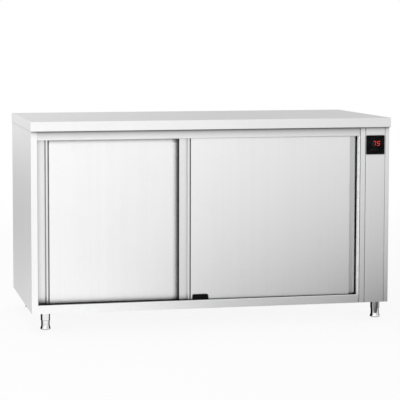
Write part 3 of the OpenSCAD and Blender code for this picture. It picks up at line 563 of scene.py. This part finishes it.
def finish_tree(tree, shape, material):
    """Ends a tree: instances made real, in one material."""
    plain = put(tree, "GeometryNodeRealizeInstances", {"Geometry": shape}).outputs[0]
    finish = put(tree, "GeometryNodeSetMaterial", {"Geometry": plain, "Material": material})
    put(tree, "NodeGroupOutput", {"Geometry": finish.outputs[0]})
    return tree


def oblong(tree, width, height):
    return put(tree, "GeometryNodeCurvePrimitiveQuadrilateral",
               {"Width": width, "Height": height}).outputs[0]


def spread(tree, points, shape):
    return put(tree, "GeometryNodeInstanceOnPoints",
               {"Points": points, "Instance": shape}).outputs[0]


def centred_line(tree, count, pitch, along):
    """Points in a row about the origin, a pitch apart."""
    length = product(tree, calc(tree, "SUBTRACT", count, 1.0), pitch)
    first = put(tree, "ShaderNodeCombineXYZ", {along: product(tree, length, -0.5)}).outputs[0]
    offset = put(tree, "ShaderNodeCombineXYZ", {along: pitch}).outputs[0]
    return put(tree, "GeometryNodeMeshLine",
               {"Count": count, "Start Location": first, "Offset": offset}).outputs[0]


def make_slotted_sheet():
    """A flat sheet with rows of slots with round ends, centred in X and Y, on Z = 0."""
    tree, ins = geometry_tree("slotted_sheet", [
        ("Width", FLOAT), ("Depth", FLOAT), ("Slot Length", FLOAT), ("Slot Width", FLOAT),
        ("Columns", "NodeSocketInt"), ("Rows", "NodeSocketInt"), ("Column Pitch", FLOAT),
        ("Row Pitch", FLOAT), ("Material", "NodeSocketMaterial")])
    outer = oblong(tree, ins["Width"], ins["Depth"])
    slot = put(tree, "GeometryNodeFilletCurve",
               {"Curve": oblong(tree, ins["Slot Length"], ins["Slot Width"]), "Count": 5,
                "Radius": product(tree, ins["Slot Width"], 0.49)}, mode="POLY").outputs[0]
    row = spread(tree, centred_line(tree, ins["Columns"], ins["Column Pitch"], "X"), slot)
    field = spread(tree, centred_line(tree, ins["Rows"], ins["Row Pitch"], "Y"), row)
    slots = put(tree, "GeometryNodeRealizeInstances", {"Geometry": field}).outputs[0]
    outline = put(tree, "GeometryNodeJoinGeometry")
    for curve in (slots, outer):
        tree.links.new(curve, outline.inputs[0])
    face = put(tree, "GeometryNodeFillCurve", {"Curve": outline.outputs[0]}).outputs[0]
    return finish_tree(tree, face, ins["Material"])


def make_part_row():
    """Copies of the incoming part, a step apart, from its own place on."""
    tree, ins = geometry_tree("part_row", [("Count", "NodeSocketInt"), ("Step", VECTOR),
                                           ("Material", "NodeSocketMaterial")])
    line = put(tree, "GeometryNodeMeshLine", {"Count": ins["Count"],
                                              "Offset": ins["Step"]}).outputs[0]
    return finish_tree(tree, spread(tree, line, ins["Geometry"]), ins["Material"])


SLOTTED_SHEET = make_slotted_sheet()
PART_ROW = make_part_row()


def grown_mesh(name, tree, values, mesh=None):
    """Runs a Geometry Nodes tree on a mesh and returns the plain result."""
    made = new_object(name, mesh or bpy.data.meshes.new(name))
    step = made.modifiers.new(name, "NODES")
    step.node_group = tree
    for item in tree.interface.items_tree:
        if item.item_type == "SOCKET" and item.in_out == "INPUT" and item.name in values:
            step[item.identifier] = values[item.name]
    result = baked(made, layers=False)
    bpy.data.objects.remove(made)
    return result


# ---- Planes of the case, read from the frame ----
worktop_low, worktop_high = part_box("worktop")
left_low, left_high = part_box("left_side_panel")
right_low, right_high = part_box("right_side_panel")
head_low, head_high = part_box("top_rail")
sill_low, sill_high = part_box("bottom_rail")
post_low, post_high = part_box("jamb_post")
ledge_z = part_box("sill_strip")[0].z
strip_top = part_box("sill_strip")[1].z
pan_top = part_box("underside_pan")[1].z
back_inner, back_outer = [corner.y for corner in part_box("back_panel")]

case_l, case_r = left_low.x, right_high.x
case_f, case_z, case_top = left_low.y, left_low.z, left_high.z
open_l, open_r = head_low.x, head_high.x
bay_l, bay_r = post_high.x, right_low.x
sill_back = post_high.y


# ---- Case ----
def build_worktop():
    """A folded tray upside down: ground corners, a skirt and a lip turned in under it."""
    bm = bmesh.new()
    add_block(bm, worktop_low, worktop_high)
    under = [f for f in bm.faces if f.normal.z < -0.5]
    bmesh.ops.inset_region(bm, faces=under, thickness=WORKTOP_LIP)
    bmesh.ops.delete(bm, geom=under, context="FACES_ONLY")

    def on_outline(vert):
        return any(abs(vert.co[i] - end[i]) < 1e-6
                   for end in (worktop_low, worktop_high) for i in (0, 1))

    edges = [e for e in bm.edges if all(on_outline(v) for v in e.verts)]
    bmesh.ops.bevel(bm, geom=edges, offset=WORKTOP_EDGE, segments=4, profile=0.5,
                    affect="EDGES", clamp_overlap=True)
    piece("worktop_tray", bm, steel_x, "worktop", modifiers=[SHEET_WALL])


def build_case():
    """Side shells, the rails over and under the doors, and the post, whose jamb face is painted near
    white as a highlight.
    """
    lifted = [pan_top, case_z, case_z, case_z, pan_top]
    folded_piece("left_side_shell", steel_z, "left_side_panel",
                 [(open_l, sill_back), (open_l, case_f), (case_l, case_f),
                  (case_l, back_inner), (case_l + RETURN, back_inner)],
                 case_z, case_top, side=-1, starts=lifted)
    folded_piece("right_side_shell", steel_z, "right_side_panel",
                 [(bay_r, case_f + RETURN), (bay_r, case_f), (case_r, case_f),
                  (case_r, back_inner), (case_r - RETURN, back_inner)],
                 case_z, case_top, inner=[BEND, TIGHT_BEND, BEND, BEND, BEND], starts=lifted)
    rail_z = head_low.z
    folded_piece("door_head_rail", steel_x, "top_rail",
                 [(case_f + TOP_HEM, rail_z), (case_f, rail_z), (case_f, case_top),
                  (sill_back, case_top)],
                 open_l - SHEET, open_r, axis="x", side=-1)
    sill_z, hem = sill_high.z, case_f + RAIL_HEM
    folded_piece("door_sill_rail", steel_x, "bottom_rail",
                 [(case_f, case_z), (case_f, sill_z), (hem, sill_z), (hem, ledge_z),
                  (sill_back, ledge_z),
                  (sill_back, sill_low.z + 2 * (pan_top - case_z) + RAIL_TAIL)],
                 open_l - SHEET - BEND, open_r, axis="x", side=-1)
    groove_l = open_r + JAMB_WIDTH
    groove_r, groove_y = groove_l + JAMB_GROOVE_W, case_f + JAMB_GROOVE_D
    post = folded_piece("bay_post", steel_z, "jamb_post",
                        [(open_r, case_f), (groove_l, case_f), (groove_l, groove_y),
                         (groove_r, groove_y), (groove_r, case_f), (bay_l, case_f),
                         (bay_l, sill_back), (open_r, sill_back)],
                        case_z, case_top, closed=True,
                        inner=[BEND] + [GROOVE_BEND] * 4 + [BEND] * 3)
    # The jamb's face takes the near-white finish: a painted highlight.
    post.data.materials.append(jamb_highlight_white)
    for face in post.data.polygons:
        if face.normal.x < -0.5 and face.center.x < open_r + 0.5 * SHEET:
            face.material_index = 1


def build_control_cover():
    """The flat cover with its two returns."""
    low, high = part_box("control_cover")
    folded_piece("bay_cover", steel_z, "control_cover",
                 [(low.x, case_f + RETURN), (low.x, case_f), (high.x, case_f),
                  (high.x, case_f + RETURN)],
                 low.z, high.z, inner=[BEND, BEND, COVER_BEND, BEND])


def door(side, front_steel):
    """One sliding door: the folded grip, and the flat panel with the step at its edge."""
    body = side + "_door"
    low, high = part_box(body + "_liner")
    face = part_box(body + "_panel")[0].y
    depth, width = low.y - face, high.x - low.x
    step = width - DOOR_STEP

    def sheet(name, material, node, inner, *points):
        return folded_piece(body + name, material, body + node,
                            [(low.x + u, face + v) for u, v in points], low.z, high.z,
                            body=body, thick=DOOR_SHEET, inner=inner)

    # The grip takes the darker copy of the door steel: painted shade in its recess.
    sheet("_pull", shaded_grip_steel, "_grip", GRIP_BEND, (0, depth), (0, GRIP_DEPTH),
          (GRIP_FLOOR, GRIP_DEPTH), (GRIP_LIP_0, GRIP_LIP_DROP), (GRIP_LIP_1, GRIP_LIP_DROP),
          (GRIP_LIP_1, GRIP_DEPTH), (PANEL_0, GRIP_DEPTH))
    front = sheet("_front", front_steel, "_panel", PANEL_BEND,
                  (PANEL_0, GRIP_DEPTH - PANEL_TUCK), (PANEL_0, 0), (step, 0),
                  (step, GRIP_DEPTH), (width, GRIP_DEPTH), (width, depth))
    # The step's face takes the darker copy of the door steel: painted shade.
    front.data.materials.append(shaded_step_steel)
    for flat in front.data.polygons:
        if flat.center.x > low.x + step and flat.center.y < low.y and flat.normal.y < -0.9:
            flat.material_index = 1


# ---- Controller ----
SEGMENTS = {"a": ((0, 2), (1, 2)), "b": ((1, 2), (1, 1)), "c": ((1, 1), (1, 0)),
            "d": ((0, 0), (1, 0)), "e": ((0, 1), (0, 0)), "f": ((0, 2), (0, 1)),
            "g": ((0, 1), (1, 1))}
LIT = {"7": "abc", "5": "acdfg"}
DIGIT_W = 11.5 * MM
DIGIT_HALF = 8.7 * MM
DIGIT_PITCH = 18.5 * MM
DIGIT_LEFT = -12.5 * MM     # left end of the first digit, from the window's middle
DIGIT_UP = 6.0 * MM         # middle of the digits above the window's middle
BAR = 2.1 * MM              # thickness of a digit's bars
BAR_GAP = 0.12 * BAR        # gap between a bar's tip and the corner
SLANT = math.tan(math.radians(11))
MARKS = 4                   # touch marks under the digits
MARK_RADIUS = 0.9 * MM
MARK_PITCH = 9.5 * MM
MARK_LEFT = -18.05 * MM     # first mark, from the window's middle
MARK_DOWN = 21.0 * MM
FILM_FRONT = 0.05 * MM      # how far a sign stands out of the window
FILM_BACK = 0.1 * MM        # and how far it reaches in
FRAME_RIM = 3.0 * MM
FRAME_CORNER = 2.5 * MM
WINDOW_CORNER = 1.25 * MM


def segment(start, end):
    """Outline of one bar of a digit, slanted, with pointed ends."""
    along = (end - start).normalized()
    side, tip = left_of(along) * BAR / 2, along * BAR / 2
    start, end = start + along * BAR_GAP, end - along * BAR_GAP
    points = (start, start + tip + side, end - tip + side, end, end - tip - side,
              start + tip - side)
    return [(p.x + p.y * SLANT, p.y) for p in points]


def controller():
    """The black frame, its window, and the digits and touch marks on the window."""
    low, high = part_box("controller_bezel")
    window_low, window_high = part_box("display_window")
    centre = (low + high) / 2
    width, height = high.x - low.x, high.z - low.z

    def place(u, v, w):
        return (centre.x + u, w, centre.z + v)

    def sign(name, outlines, material):
        bm = bmesh.new()
        for outline in outlines:
            add_prism(bm, outline, place, window_low.y - FILM_FRONT,
                      window_low.y + FILM_BACK)
        made = new_object(name, to_mesh(bm, name))
        made.data.materials.append(material)
        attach(made, "cabinet")

    bm = bmesh.new()
    outer = rounded_rectangle(width, height, FRAME_CORNER)
    inner = rounded_rectangle(width - 2 * FRAME_RIM, height - 2 * FRAME_RIM, WINDOW_CORNER)
    section = ((outer, high.y), (outer, low.y), (inner, low.y), (inner, high.y))
    skin(bm, [[bm.verts.new(place(u, v, w)) for u, v in line] for line, w in section], True)
    piece("controller_frame", bm, gloss_frame, "controller_bezel",
          modifiers=[bevel(0.5 * MM)])

    bm = bmesh.new()
    add_prism(bm, rounded_rectangle(window_high.x - window_low.x,
                                    window_high.z - window_low.z, WINDOW_CORNER),
              place, window_low.y, window_high.y)
    piece("controller_window", bm, window_glass, "display_window",
          modifiers=[bevel(0.25 * MM)])

    bars = {True: [], False: []}
    for i, digit in enumerate("75"):
        for name, ends in SEGMENTS.items():
            start, end = [Vector((DIGIT_LEFT + i * DIGIT_PITCH + u * DIGIT_W,
                                  DIGIT_UP + (v - 1) * DIGIT_HALF)) for u, v in ends]
            bars[name in LIT[digit]].append(segment(start, end))
    sign("display_digits", bars[True], red_segment)
    sign("display_dark_segments", bars[False], dark_segment)
    sign("touch_marks", [circle((MARK_LEFT + k * MARK_PITCH, -MARK_DOWN), MARK_RADIUS, 16)
                         for k in range(MARKS)], pale_mark)


# ---- Feet, guide and seals ----
FEET = ("front_left", "front_right", "back_left", "back_right")
FOOT_WAIST = 17.25 * MM     # radius of a foot over its flare
FOOT_TOP = 39.7 * MM        # its shoulder, just below the tube
FOOT_EASE = 0.6 * MM        # bevel of the shoulder
SOLE_RING = 2.0 * MM        # flat ring inside the sole's rounding
FLARE_0 = 6.0 * MM          # lower end of the flare
FLARE = 14.0 * MM           # its height
FLARE_STEPS = 16
STEM = 6.0 * MM             # radius of the threaded stem
TUBE = 19.0 * MM            # radius of a leg tube
TUBE_WALL = 1.5 * MM
TUBE_EASE = 0.4 * MM        # bevel of its lower end
GUIDE_CORNER = 6.0 * MM
GUIDE_PLAY = 0.6 * MM       # between a door and the guide's middle finger
GUIDE_FINGER = 5.0 * MM
SEAL_LIP = 1.0 * MM         # thickness of a seal's foot on the jamb
SEAL_BULB = 1.5 * MM        # radius of its bulb
SEAL_BACK = 1.0 * MM        # its rear edge, before the door's liner
SEAL_L, SEAL_R = 17.0 * MM, 15.0 * MM   # the front edges of the two, the same way


def middle(node):
    """The middle of a node, seen from above."""
    low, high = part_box(node)
    return (low.x + high.x) / 2, (low.y + high.y) / 2


def feet():
    """Turned screw feet with a flare and a round sole, and the polished leg tubes."""
    for place in FEET:
        node = "foot_" + place
        low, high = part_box(node)
        radius = (high.x - low.x) / 2
        sole = radius / 4
        profile = [(0.0, 0.0), (radius - sole - SOLE_RING, 0.0)]
        profile += arc((radius - sole, sole), sole, -QUARTER, QUARTER, 8)
        profile += [(FOOT_WAIST + (radius - FOOT_WAIST)
                     * (1 + math.cos(math.pi * k / FLARE_STEPS)) / 2,
                     FLARE_0 + FLARE * k / FLARE_STEPS) for k in range(FLARE_STEPS + 1)]
        profile += [(FOOT_WAIST, FOOT_TOP - FOOT_EASE), (FOOT_WAIST - FOOT_EASE, FOOT_TOP),
                    (STEM, FOOT_TOP), (STEM, high.z - MM), (STEM - MM, high.z),
                    (0.0, high.z)]
        bm = bmesh.new()
        lathe(bm, profile, middle(node))
        piece("turned_" + node, bm, polished_steel, node, node)
    low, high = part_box("leg_tubes")
    bm = bmesh.new()
    for place in FEET:
        lathe(bm, [(TUBE - TUBE_WALL, low.z), (TUBE - TUBE_EASE, low.z),
                   (TUBE, low.z + TUBE_EASE), (TUBE, high.z), (TUBE - TUBE_WALL, high.z)],
              middle("foot_" + place), closed=True)
    piece("polished_legs", bm, polished_steel, "leg_tubes")


def guide():
    """The black guide: three fingers with round shoulders on one base."""
    low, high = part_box("door_guide")
    half, shoulder = (high.x - low.x) / 2, high.z - GUIDE_CORNER
    centre = (low.x + high.x) / 2
    bm = bmesh.new()
    add_block(bm, low, (high.x, high.y, strip_top))
    outline = [(-half, low.z), (half, low.z)]
    outline += arc((half - GUIDE_CORNER, shoulder), GUIDE_CORNER, 0.0, QUARTER, 6)
    outline += arc((GUIDE_CORNER - half, shoulder), GUIDE_CORNER, QUARTER, QUARTER, 6)
    fingers = ((low.y, low.y + GUIDE_FINGER),
               (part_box("right_door_liner")[1].y + GUIDE_PLAY,
                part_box("left_door_panel")[0].y - GUIDE_PLAY),
               (high.y - GUIDE_FINGER, high.y))
    for front, back in fingers:
        add_prism(bm, outline, lambda u, v, w: (centre + u, w, v), front, back)
    piece("sill_guide", bm, black_plastic, "door_guide",
          modifiers=[bevel(0.5 * MM, 2)])


def seals():
    """A bulb seal on each jamb, which the door's edge meets."""
    low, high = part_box("jamb_seals")
    bm = bmesh.new()
    for jamb, way, liner, reach in ((low.x, 1, "left_door_liner", SEAL_L),
                                    (high.x, -1, "right_door_liner", SEAL_R)):
        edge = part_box(liner)[0].y
        front, back = edge - reach, edge - SEAL_BACK
        centre = (front + back) / 2
        outline = [(0, front), (SEAL_LIP, front), (SEAL_LIP, centre - SEAL_BULB)]
        outline += arc((SEAL_LIP, centre), SEAL_BULB, -QUARTER, math.pi, 10)[1:-1]
        outline += [(SEAL_LIP, centre + SEAL_BULB), (SEAL_LIP, back), (0, back)]
        add_prism(bm, outline, lambda u, v, w: (jamb + way * u, v, w), low.z, high.z)
    piece("bulb_seals", bm, black_rubber, "jamb_seals")


# ---- Shelf and screws ----
SLOT_LENGTH = 60.0 * MM
SLOT_WIDTH = 8.0 * MM
SHELF_COLUMNS = 9
SHELF_ROWS = 3
SHELF_EDGE = 1.8 * MM       # rounding of the shelf's folds
SCREW_ROWS = 6
SCREW_HEAD = 8.0 * MM
SCREW_RISE = 2.0 * MM
SCREW_STEPS = 32
SHANK = 2.0 * MM            # radius of the shank, and how deep it goes in
SHANK_DEPTH = 1.5 * MM
CROSS_WING = 2.1 * MM       # reach of the cross recess
CROSS_WEB = 0.55 * MM       # half width of its wings


def shelf():
    """The pressed shelf: a slotted top with its edges folded down all round."""
    low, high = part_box("shelf")
    bm = bmesh.new()
    add_block(bm, low, high)
    bmesh.ops.delete(bm, geom=[f for f in bm.faces if f.normal.z < -0.5],
                     context="FACES_ONLY")
    bmesh.ops.bevel(bm, geom=[e for e in bm.edges if not e.is_boundary], offset=SHELF_EDGE,
                    segments=3, profile=0.5, affect="EDGES", clamp_overlap=True)
    bmesh.ops.delete(bm, geom=[f for f in bm.faces if f.normal.z > 0.999],
                     context="FACES_ONLY")
    sheet = grown_mesh("shelf_top", SLOTTED_SHEET, {
        "Width": high.x - low.x - 2 * SHELF_EDGE, "Depth": high.y - low.y - 2 * SHELF_EDGE,
        "Slot Length": SLOT_LENGTH, "Slot Width": SLOT_WIDTH, "Columns": SHELF_COLUMNS,
        "Rows": SHELF_ROWS, "Column Pitch": 2 * SLOT_LENGTH, "Row Pitch": 2 * SLOT_LENGTH,
        "Material": steel_x})
    sheet.transform(Matrix.Translation((*middle("shelf"), high.z)))
    bm.from_mesh(sheet)
    bpy.data.meshes.remove(sheet)
    bmesh.ops.remove_doubles(bm, verts=bm.verts, dist=2e-5)
    piece("slotted_shelf", bm, steel_x, "shelf", modifiers=[SHEET_WALL])


def cross_screw(bm, x, back, z):
    """A pan-head screw with a cross recess, its head on the back panel."""
    def wing(angle):
        """Reach of the recess at an angle."""
        off = min(abs(math.sin(angle)), abs(math.cos(angle)))
        return min(CROSS_WING, CROSS_WEB / max(off, 1e-3))

    head = SCREW_HEAD / 2
    rings = []
    for radius, cross, rise in ((SHANK, 0.0, -SHANK_DEPTH), (SHANK, 0.0, 0.0),
                                (head, 0.0, 0.0), (head, 0.0, 0.5 * SCREW_RISE),
                                (0.85 * head, 0.0, 0.85 * SCREW_RISE),
                                (0.62 * head, 0.0, SCREW_RISE),
                                (0.0, 1.0, SCREW_RISE), (0.0, 0.8, 0.35 * SCREW_RISE)):
        points = []
        for k in range(SCREW_STEPS):
            angle = math.tau * k / SCREW_STEPS
            reach = radius + cross * wing(angle)
            points.append(bm.verts.new((x + reach * math.cos(angle), back + rise,
                                        z + reach * math.sin(angle))))
        rings.append(points)
    skin(bm, rings)
    bm.faces.new(rings[0])
    bm.faces.new(rings[-1][::-1])


def screws():
    """Two columns of screws down the back panel."""
    low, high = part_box("back_panel_screws")
    head = SCREW_HEAD / 2
    bm = bmesh.new()
    for x in (low.x + head, high.x - head):
        cross_screw(bm, x, back_outer, low.z + head)
    pitch = (high.z - low.z - SCREW_HEAD) / (SCREW_ROWS - 1)
    mesh = grown_mesh("back_screws", PART_ROW,
                      {"Count": SCREW_ROWS, "Step": (0.0, 0.0, pitch),
                       "Material": zinc_plate}, to_mesh(bm, "screw_pair"))
    piece("cross_head_screws", mesh, zinc_plate, "back_panel_screws")


build_worktop()
build_case()
seals()
shelf()
screws()
build_control_cover()
door("left", rear_door_steel)
door("right", front_door_steel)
controller()
feet()
guide()

# ---- Finishes of the nodes that keep their CAD shape ----
KEPT = {
    steel_x: ["floor_pan", "inner_back_wall", "chamber_ceiling", "door_track", "back_panel",
              "underside_pan", "shelf_bearers"],
    steel_z: ["inner_left_wall", "bay_partition", "heater_plenum", "fan_guard"],
    steel_y: ["leg_sockets"],
    rear_door_steel: ["left_door_liner", "right_door_liner"],
    polished_steel: ["motor_shaft", "temperature_probe"],
    zinc_plate: ["mounting_rail", "left_door_hangers", "right_door_hangers", "fan_wheel"],
    wool: ["insulation_slabs", "left_door_core", "right_door_core"],
    board: ["worktop_core"],
    black_plastic: ["controller_case", "sill_strip", "cable_gland", "leg_bushes",
                    "contactor"],
    grey_plastic: ["terminal_block"],
    ivory_plastic: ["safety_thermostat"],
    white_nylon: ["left_door_wheel_a", "left_door_wheel_b", "right_door_wheel_a",
                  "right_door_wheel_b"],
    heater_metal: ["heating_element"],
    motor_enamel: ["fan_motor"],
    brass_metal: ["bonding_stud"],
}
for material, nodes in KEPT.items():
    for node in nodes:
        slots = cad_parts[node].data.materials
        slots.clear()
        slots.append(material)

# ---- Floor and cards ----
FLOOR_REACH = 60.0
FLOOR_DROP = 0.4 * MM       # below the feet, which stay clear of it
FLOOR_NEAR, FLOOR_FAR = 1.6, 4.5    # between them it turns into background
FLOOR_WHITE = 0.86          # how much of the near floor is background already
FLOOR_IN_METAL = 0.96       # the same where metal and glass show it
AMBIENT = 0.60
CARD_EDGE = -0.36           # rear edge of the floor cards, just before the case
# Each card on the floor has a height of its own, so that no two share a plane
LEFT_CARD_Z, FAN_CARD_Z, FRONT_CARD_Z, SHADE_Z = 0.002, 0.003, 0.004, 0.005
FAN_START = -0.34           # where the fan card's tones begin
FAN_SIDE, FAN_BACK = -1.47, 6.15    # from there to the point where their lines meet
FAN_TONES = ((-0.60, 0.50, 0.70), (0.50, 0.75, 0.28))   # from, to, share gained between
FAN_THINNING = 2.2
FRONT_FADE_X, FRONT_FADE_Y = (-0.5, 0.1), (-3.5, -0.8)
FLAG_RADIUS = 28 * MM
FLAG_START, FLAG_SWEEP, FLAG_STEPS = math.radians(-29), math.radians(238), 20
SHADE_RADIUS = 26 * MM


def flat_mesh(corners):
    mesh = bpy.data.meshes.new("card")
    mesh.from_pydata(corners, [], [(0, 1, 2, 3)])
    return mesh


def level_mesh(x, y, z):
    """A level rectangle between two values of x and of y."""
    return flat_mesh([(x[0], y[0], z), (x[1], y[0], z), (x[1], y[1], z), (x[0], y[1], z)])


def upright_mesh(x, y, z):
    """An upright rectangle across the view, between two values of x and of z."""
    return flat_mesh([(x[0], y, z[0]), (x[1], y, z[0]), (x[1], y, z[1]), (x[0], y, z[1])])


def glow(tree, tone):
    return put(tree, "ShaderNodeEmission", {"Color": rgba(tone), "Strength": 1.0}).outputs[0]


def blend(tree, share, one, two, output="ShaderNodeOutputMaterial"):
    """Ends a tree in two shaders, mixed by a share."""
    both = put(tree, "ShaderNodeMixShader", {0: share, 1: one, 2: two}).outputs[0]
    put(tree, output, {0: both})


def floor():
    """A pale floor that fades into the white background away from the object."""
    reach = (-FLOOR_REACH, FLOOR_REACH)
    made = new_object("floor", level_mesh(reach, reach, -FLOOR_DROP))
    material, tree, place = empty_material("studio_floor")
    far = remap(tree, vector_calc(tree, "LENGTH", place), FLOOR_NEAR, FLOOR_FAR)
    path = put(tree, "ShaderNodeLightPath").outputs
    mirrored = calc(tree, "ADD", path["Is Glossy Ray"], path["Is Transmission Ray"],
                    clamp=True)
    near = remap(tree, far, 0.0, 1.0, FLOOR_WHITE, 1.0)
    polished = remap(tree, far, 0.0, 1.0, FLOOR_IN_METAL, 1.0)
    share = total(tree, product(tree, near, path["Is Camera Ray"]),
                  product(tree, polished, mirrored))
    pale = put(tree, "ShaderNodeBsdfDiffuse", {"Color": rgba(0.93)}).outputs[0]
    blend(tree, share, pale, glow(tree, 1.0))
    made.data.materials.append(material)


def metal_card(name, mesh, tone, cover):
    """A card that only polished and brushed metal shows. cover(tree, place) is its share."""
    made = new_object(name, mesh)
    made.visible_camera = False
    made.visible_diffuse = False
    made.visible_shadow = False
    made.visible_transmission = False
    material, tree, place = empty_material(name)
    clear = put(tree, "ShaderNodeBsdfTransparent").outputs[0]
    blend(tree, cover(tree, place), clear, glow(tree, tone))
    made.data.materials.append(material)


def fade(number, *span):
    """A card's share, remapped along one axis."""
    return lambda tree, place: remap(tree, axis(tree, place, number), *span)


def floor_card(name, place, reach, tone, share, core=0.25):
    """A round card on the floor, fading from the edge of its core to its rim."""
    x, y, z = place

    def cover(tree, spot):
        away = vector_calc(tree, "DIVIDE", vector_calc(tree, "SUBTRACT", spot, place),
                           (reach, reach, 1.0))
        return remap(tree, vector_calc(tree, "LENGTH", away), core, 1.0, share, 0.0)

    metal_card(name, level_mesh((x - reach, x + reach), (y - reach, y + reach), z), tone,
               cover)


def fan_card():
    """A card before the case, darker to the right and thinner away from the case.

    Its tones are drawn along lines that fan out from a point behind the case.
    """
    def cover(tree, place):
        out = calc(tree, "SUBTRACT", FAN_START, axis(tree, place, 1))
        out = calc(tree, "MAXIMUM", calc(tree, "DIVIDE", out, FAN_BACK), 0.0)
        side = total(tree, axis(tree, place, 0), product(tree, out, FAN_SIDE))
        side = calc(tree, "DIVIDE", side, total(tree, out, 1.0))
        share = total(tree, *[remap(tree, side, start, end, 0.0, gain)
                              for start, end, gain in FAN_TONES])
        thin = total(tree, product(tree, out, FAN_THINNING), 1.0)
        return calc(tree, "DIVIDE", share, thin)

    metal_card("fan_card", level_mesh((-3, 12), (-20, CARD_EDGE), FAN_CARD_Z), 0.02, cover)


def front_card():
    """A pale card before the left of the case, fading to the right and away from it."""
    def cover(tree, place):
        return product(tree, fade(0, *FRONT_FADE_X, 1.0, 0.0)(tree, place),
                       fade(1, *FRONT_FADE_Y)(tree, place))

    metal_card("front_card", level_mesh((-7, 0.3), (-7, CARD_EDGE), FRONT_CARD_Z), 1.10, cover)


def foot_flags():
    """Dark flags bent round the inner side of each foot, which draw the polished tube."""
    for place, inward in zip(FEET, (1, 1, -1, -1)):
        x, y = middle("foot_" + place)
        line = arc((x, y), FLAG_RADIUS, inward * FLAG_START, inward * FLAG_SWEEP, FLAG_STEPS)
        mesh = bpy.data.meshes.new("foot_flag")
        mesh.from_pydata([(u, v, w) for w in (1 * MM, case_z - 1 * MM) for u, v in line], [],
                         [(k, k + 1, k + FLAG_STEPS + 2, k + FLAG_STEPS + 1)
                          for k in range(FLAG_STEPS)])
        metal_card("foot_flag_" + place, mesh, 0.01, lambda tree, spot: 1.0)
        floor_card("foot_shade_" + place, (x, y, SHADE_Z), SHADE_RADIUS, 0.01, 1.0, 0.85)


def sky_card():
    """A dome that greys softly upwards, so that level metal stands off the background."""
    bm = bmesh.new()
    bmesh.ops.create_uvsphere(bm, u_segments=48, v_segments=24, radius=30.0)
    bmesh.ops.delete(bm, geom=[v for v in bm.verts if v.co.z < -1.0], context="VERTS")
    mesh = bpy.data.meshes.new("sky_card")
    bm.to_mesh(mesh)
    bm.free()
    metal_card("sky_card", mesh, 0.25, fade(2, 2.0, 14.0, 0.0, 0.30))


# ---- Light and camera ----
def background():
    """A white backdrop for camera, metal and glass, and a plain grey ambient light."""
    world = bpy.data.worlds.new("studio")
    bpy.context.scene.world = world
    world.use_nodes = True
    tree = world.node_tree
    tree.nodes.clear()
    path = put(tree, "ShaderNodeLightPath").outputs
    seen = total(tree, path["Is Camera Ray"], path["Is Glossy Ray"])
    seen = calc(tree, "ADD", seen, path["Is Transmission Ray"], clamp=True)
    ambient = put(tree, "ShaderNodeBackground", {0: rgba(1.0), 1: AMBIENT}).outputs[0]
    white = put(tree, "ShaderNodeBackground", {0: rgba(1.0), 1: 1.0}).outputs[0]
    blend(tree, seen, ambient, white, "ShaderNodeOutputWorld")


def soft_box(name, place, aim, size, power):
    """A square studio lamp, turned towards a point."""
    light = bpy.data.lights.new(name, "AREA")
    light.shape = "RECTANGLE"
    light.size, light.size_y, light.energy = size, size, power
    made = new_object(name, light)
    made.visible_glossy = False
    made.location = place
    made.rotation_euler = (Vector(aim) - Vector(place)).to_track_quat("-Z", "Y").to_euler()


def camera():
    """The view of the photograph, fitted to the corners of the worktop and the case."""
    data = bpy.data.cameras.new("camera")
    made = new_object("camera", data)
    data.sensor_width = 36.0
    data.lens = 140.47
    data.shift_x, data.shift_y = 0.08, -0.10
    data.clip_start, data.clip_end = 0.05, 200.0
    made.location = (-1.469, -6.488, 1.197)
    made.rotation_euler = (math.radians(90 - 4.63), 0.0, math.radians(-11.73))
    bpy.context.scene.camera = made


floor()
background()
floor_card("left_card", place=(-1.6, 5.0, LEFT_CARD_Z), reach=8.0, tone=0.05, share=0.45)
front_card()
fan_card()
sky_card()
foot_flags()
metal_card("top_card", upright_mesh((-0.6, 6.0), 4.5, (0.2, 3.5)), 0.6,
           fade(0, -1.0, 1.2, 0.0, 0.95))
metal_card("bright_card", upright_mesh((-12.0, 5.0), -10.0, (-0.5, 9.0)), 1.4,
           fade(0, 1.2, 3.4, 1.0, 0.0))
soft_box("key", place=(-2.6, -7.6, 2.2), aim=(-0.2, -0.3, 0.45), size=3.2, power=100)
soft_box("left", place=(-5.5, -3.6, 1.8), aim=(0.0, -0.3, 0.45), size=3.0, power=160)
soft_box("top", place=(-0.5, 0.6, 4.0), aim=(0.0, 0.0, 0.8), size=3.0, power=36)
camera()

scene = bpy.context.scene
scene.view_settings.view_transform = "Standard"
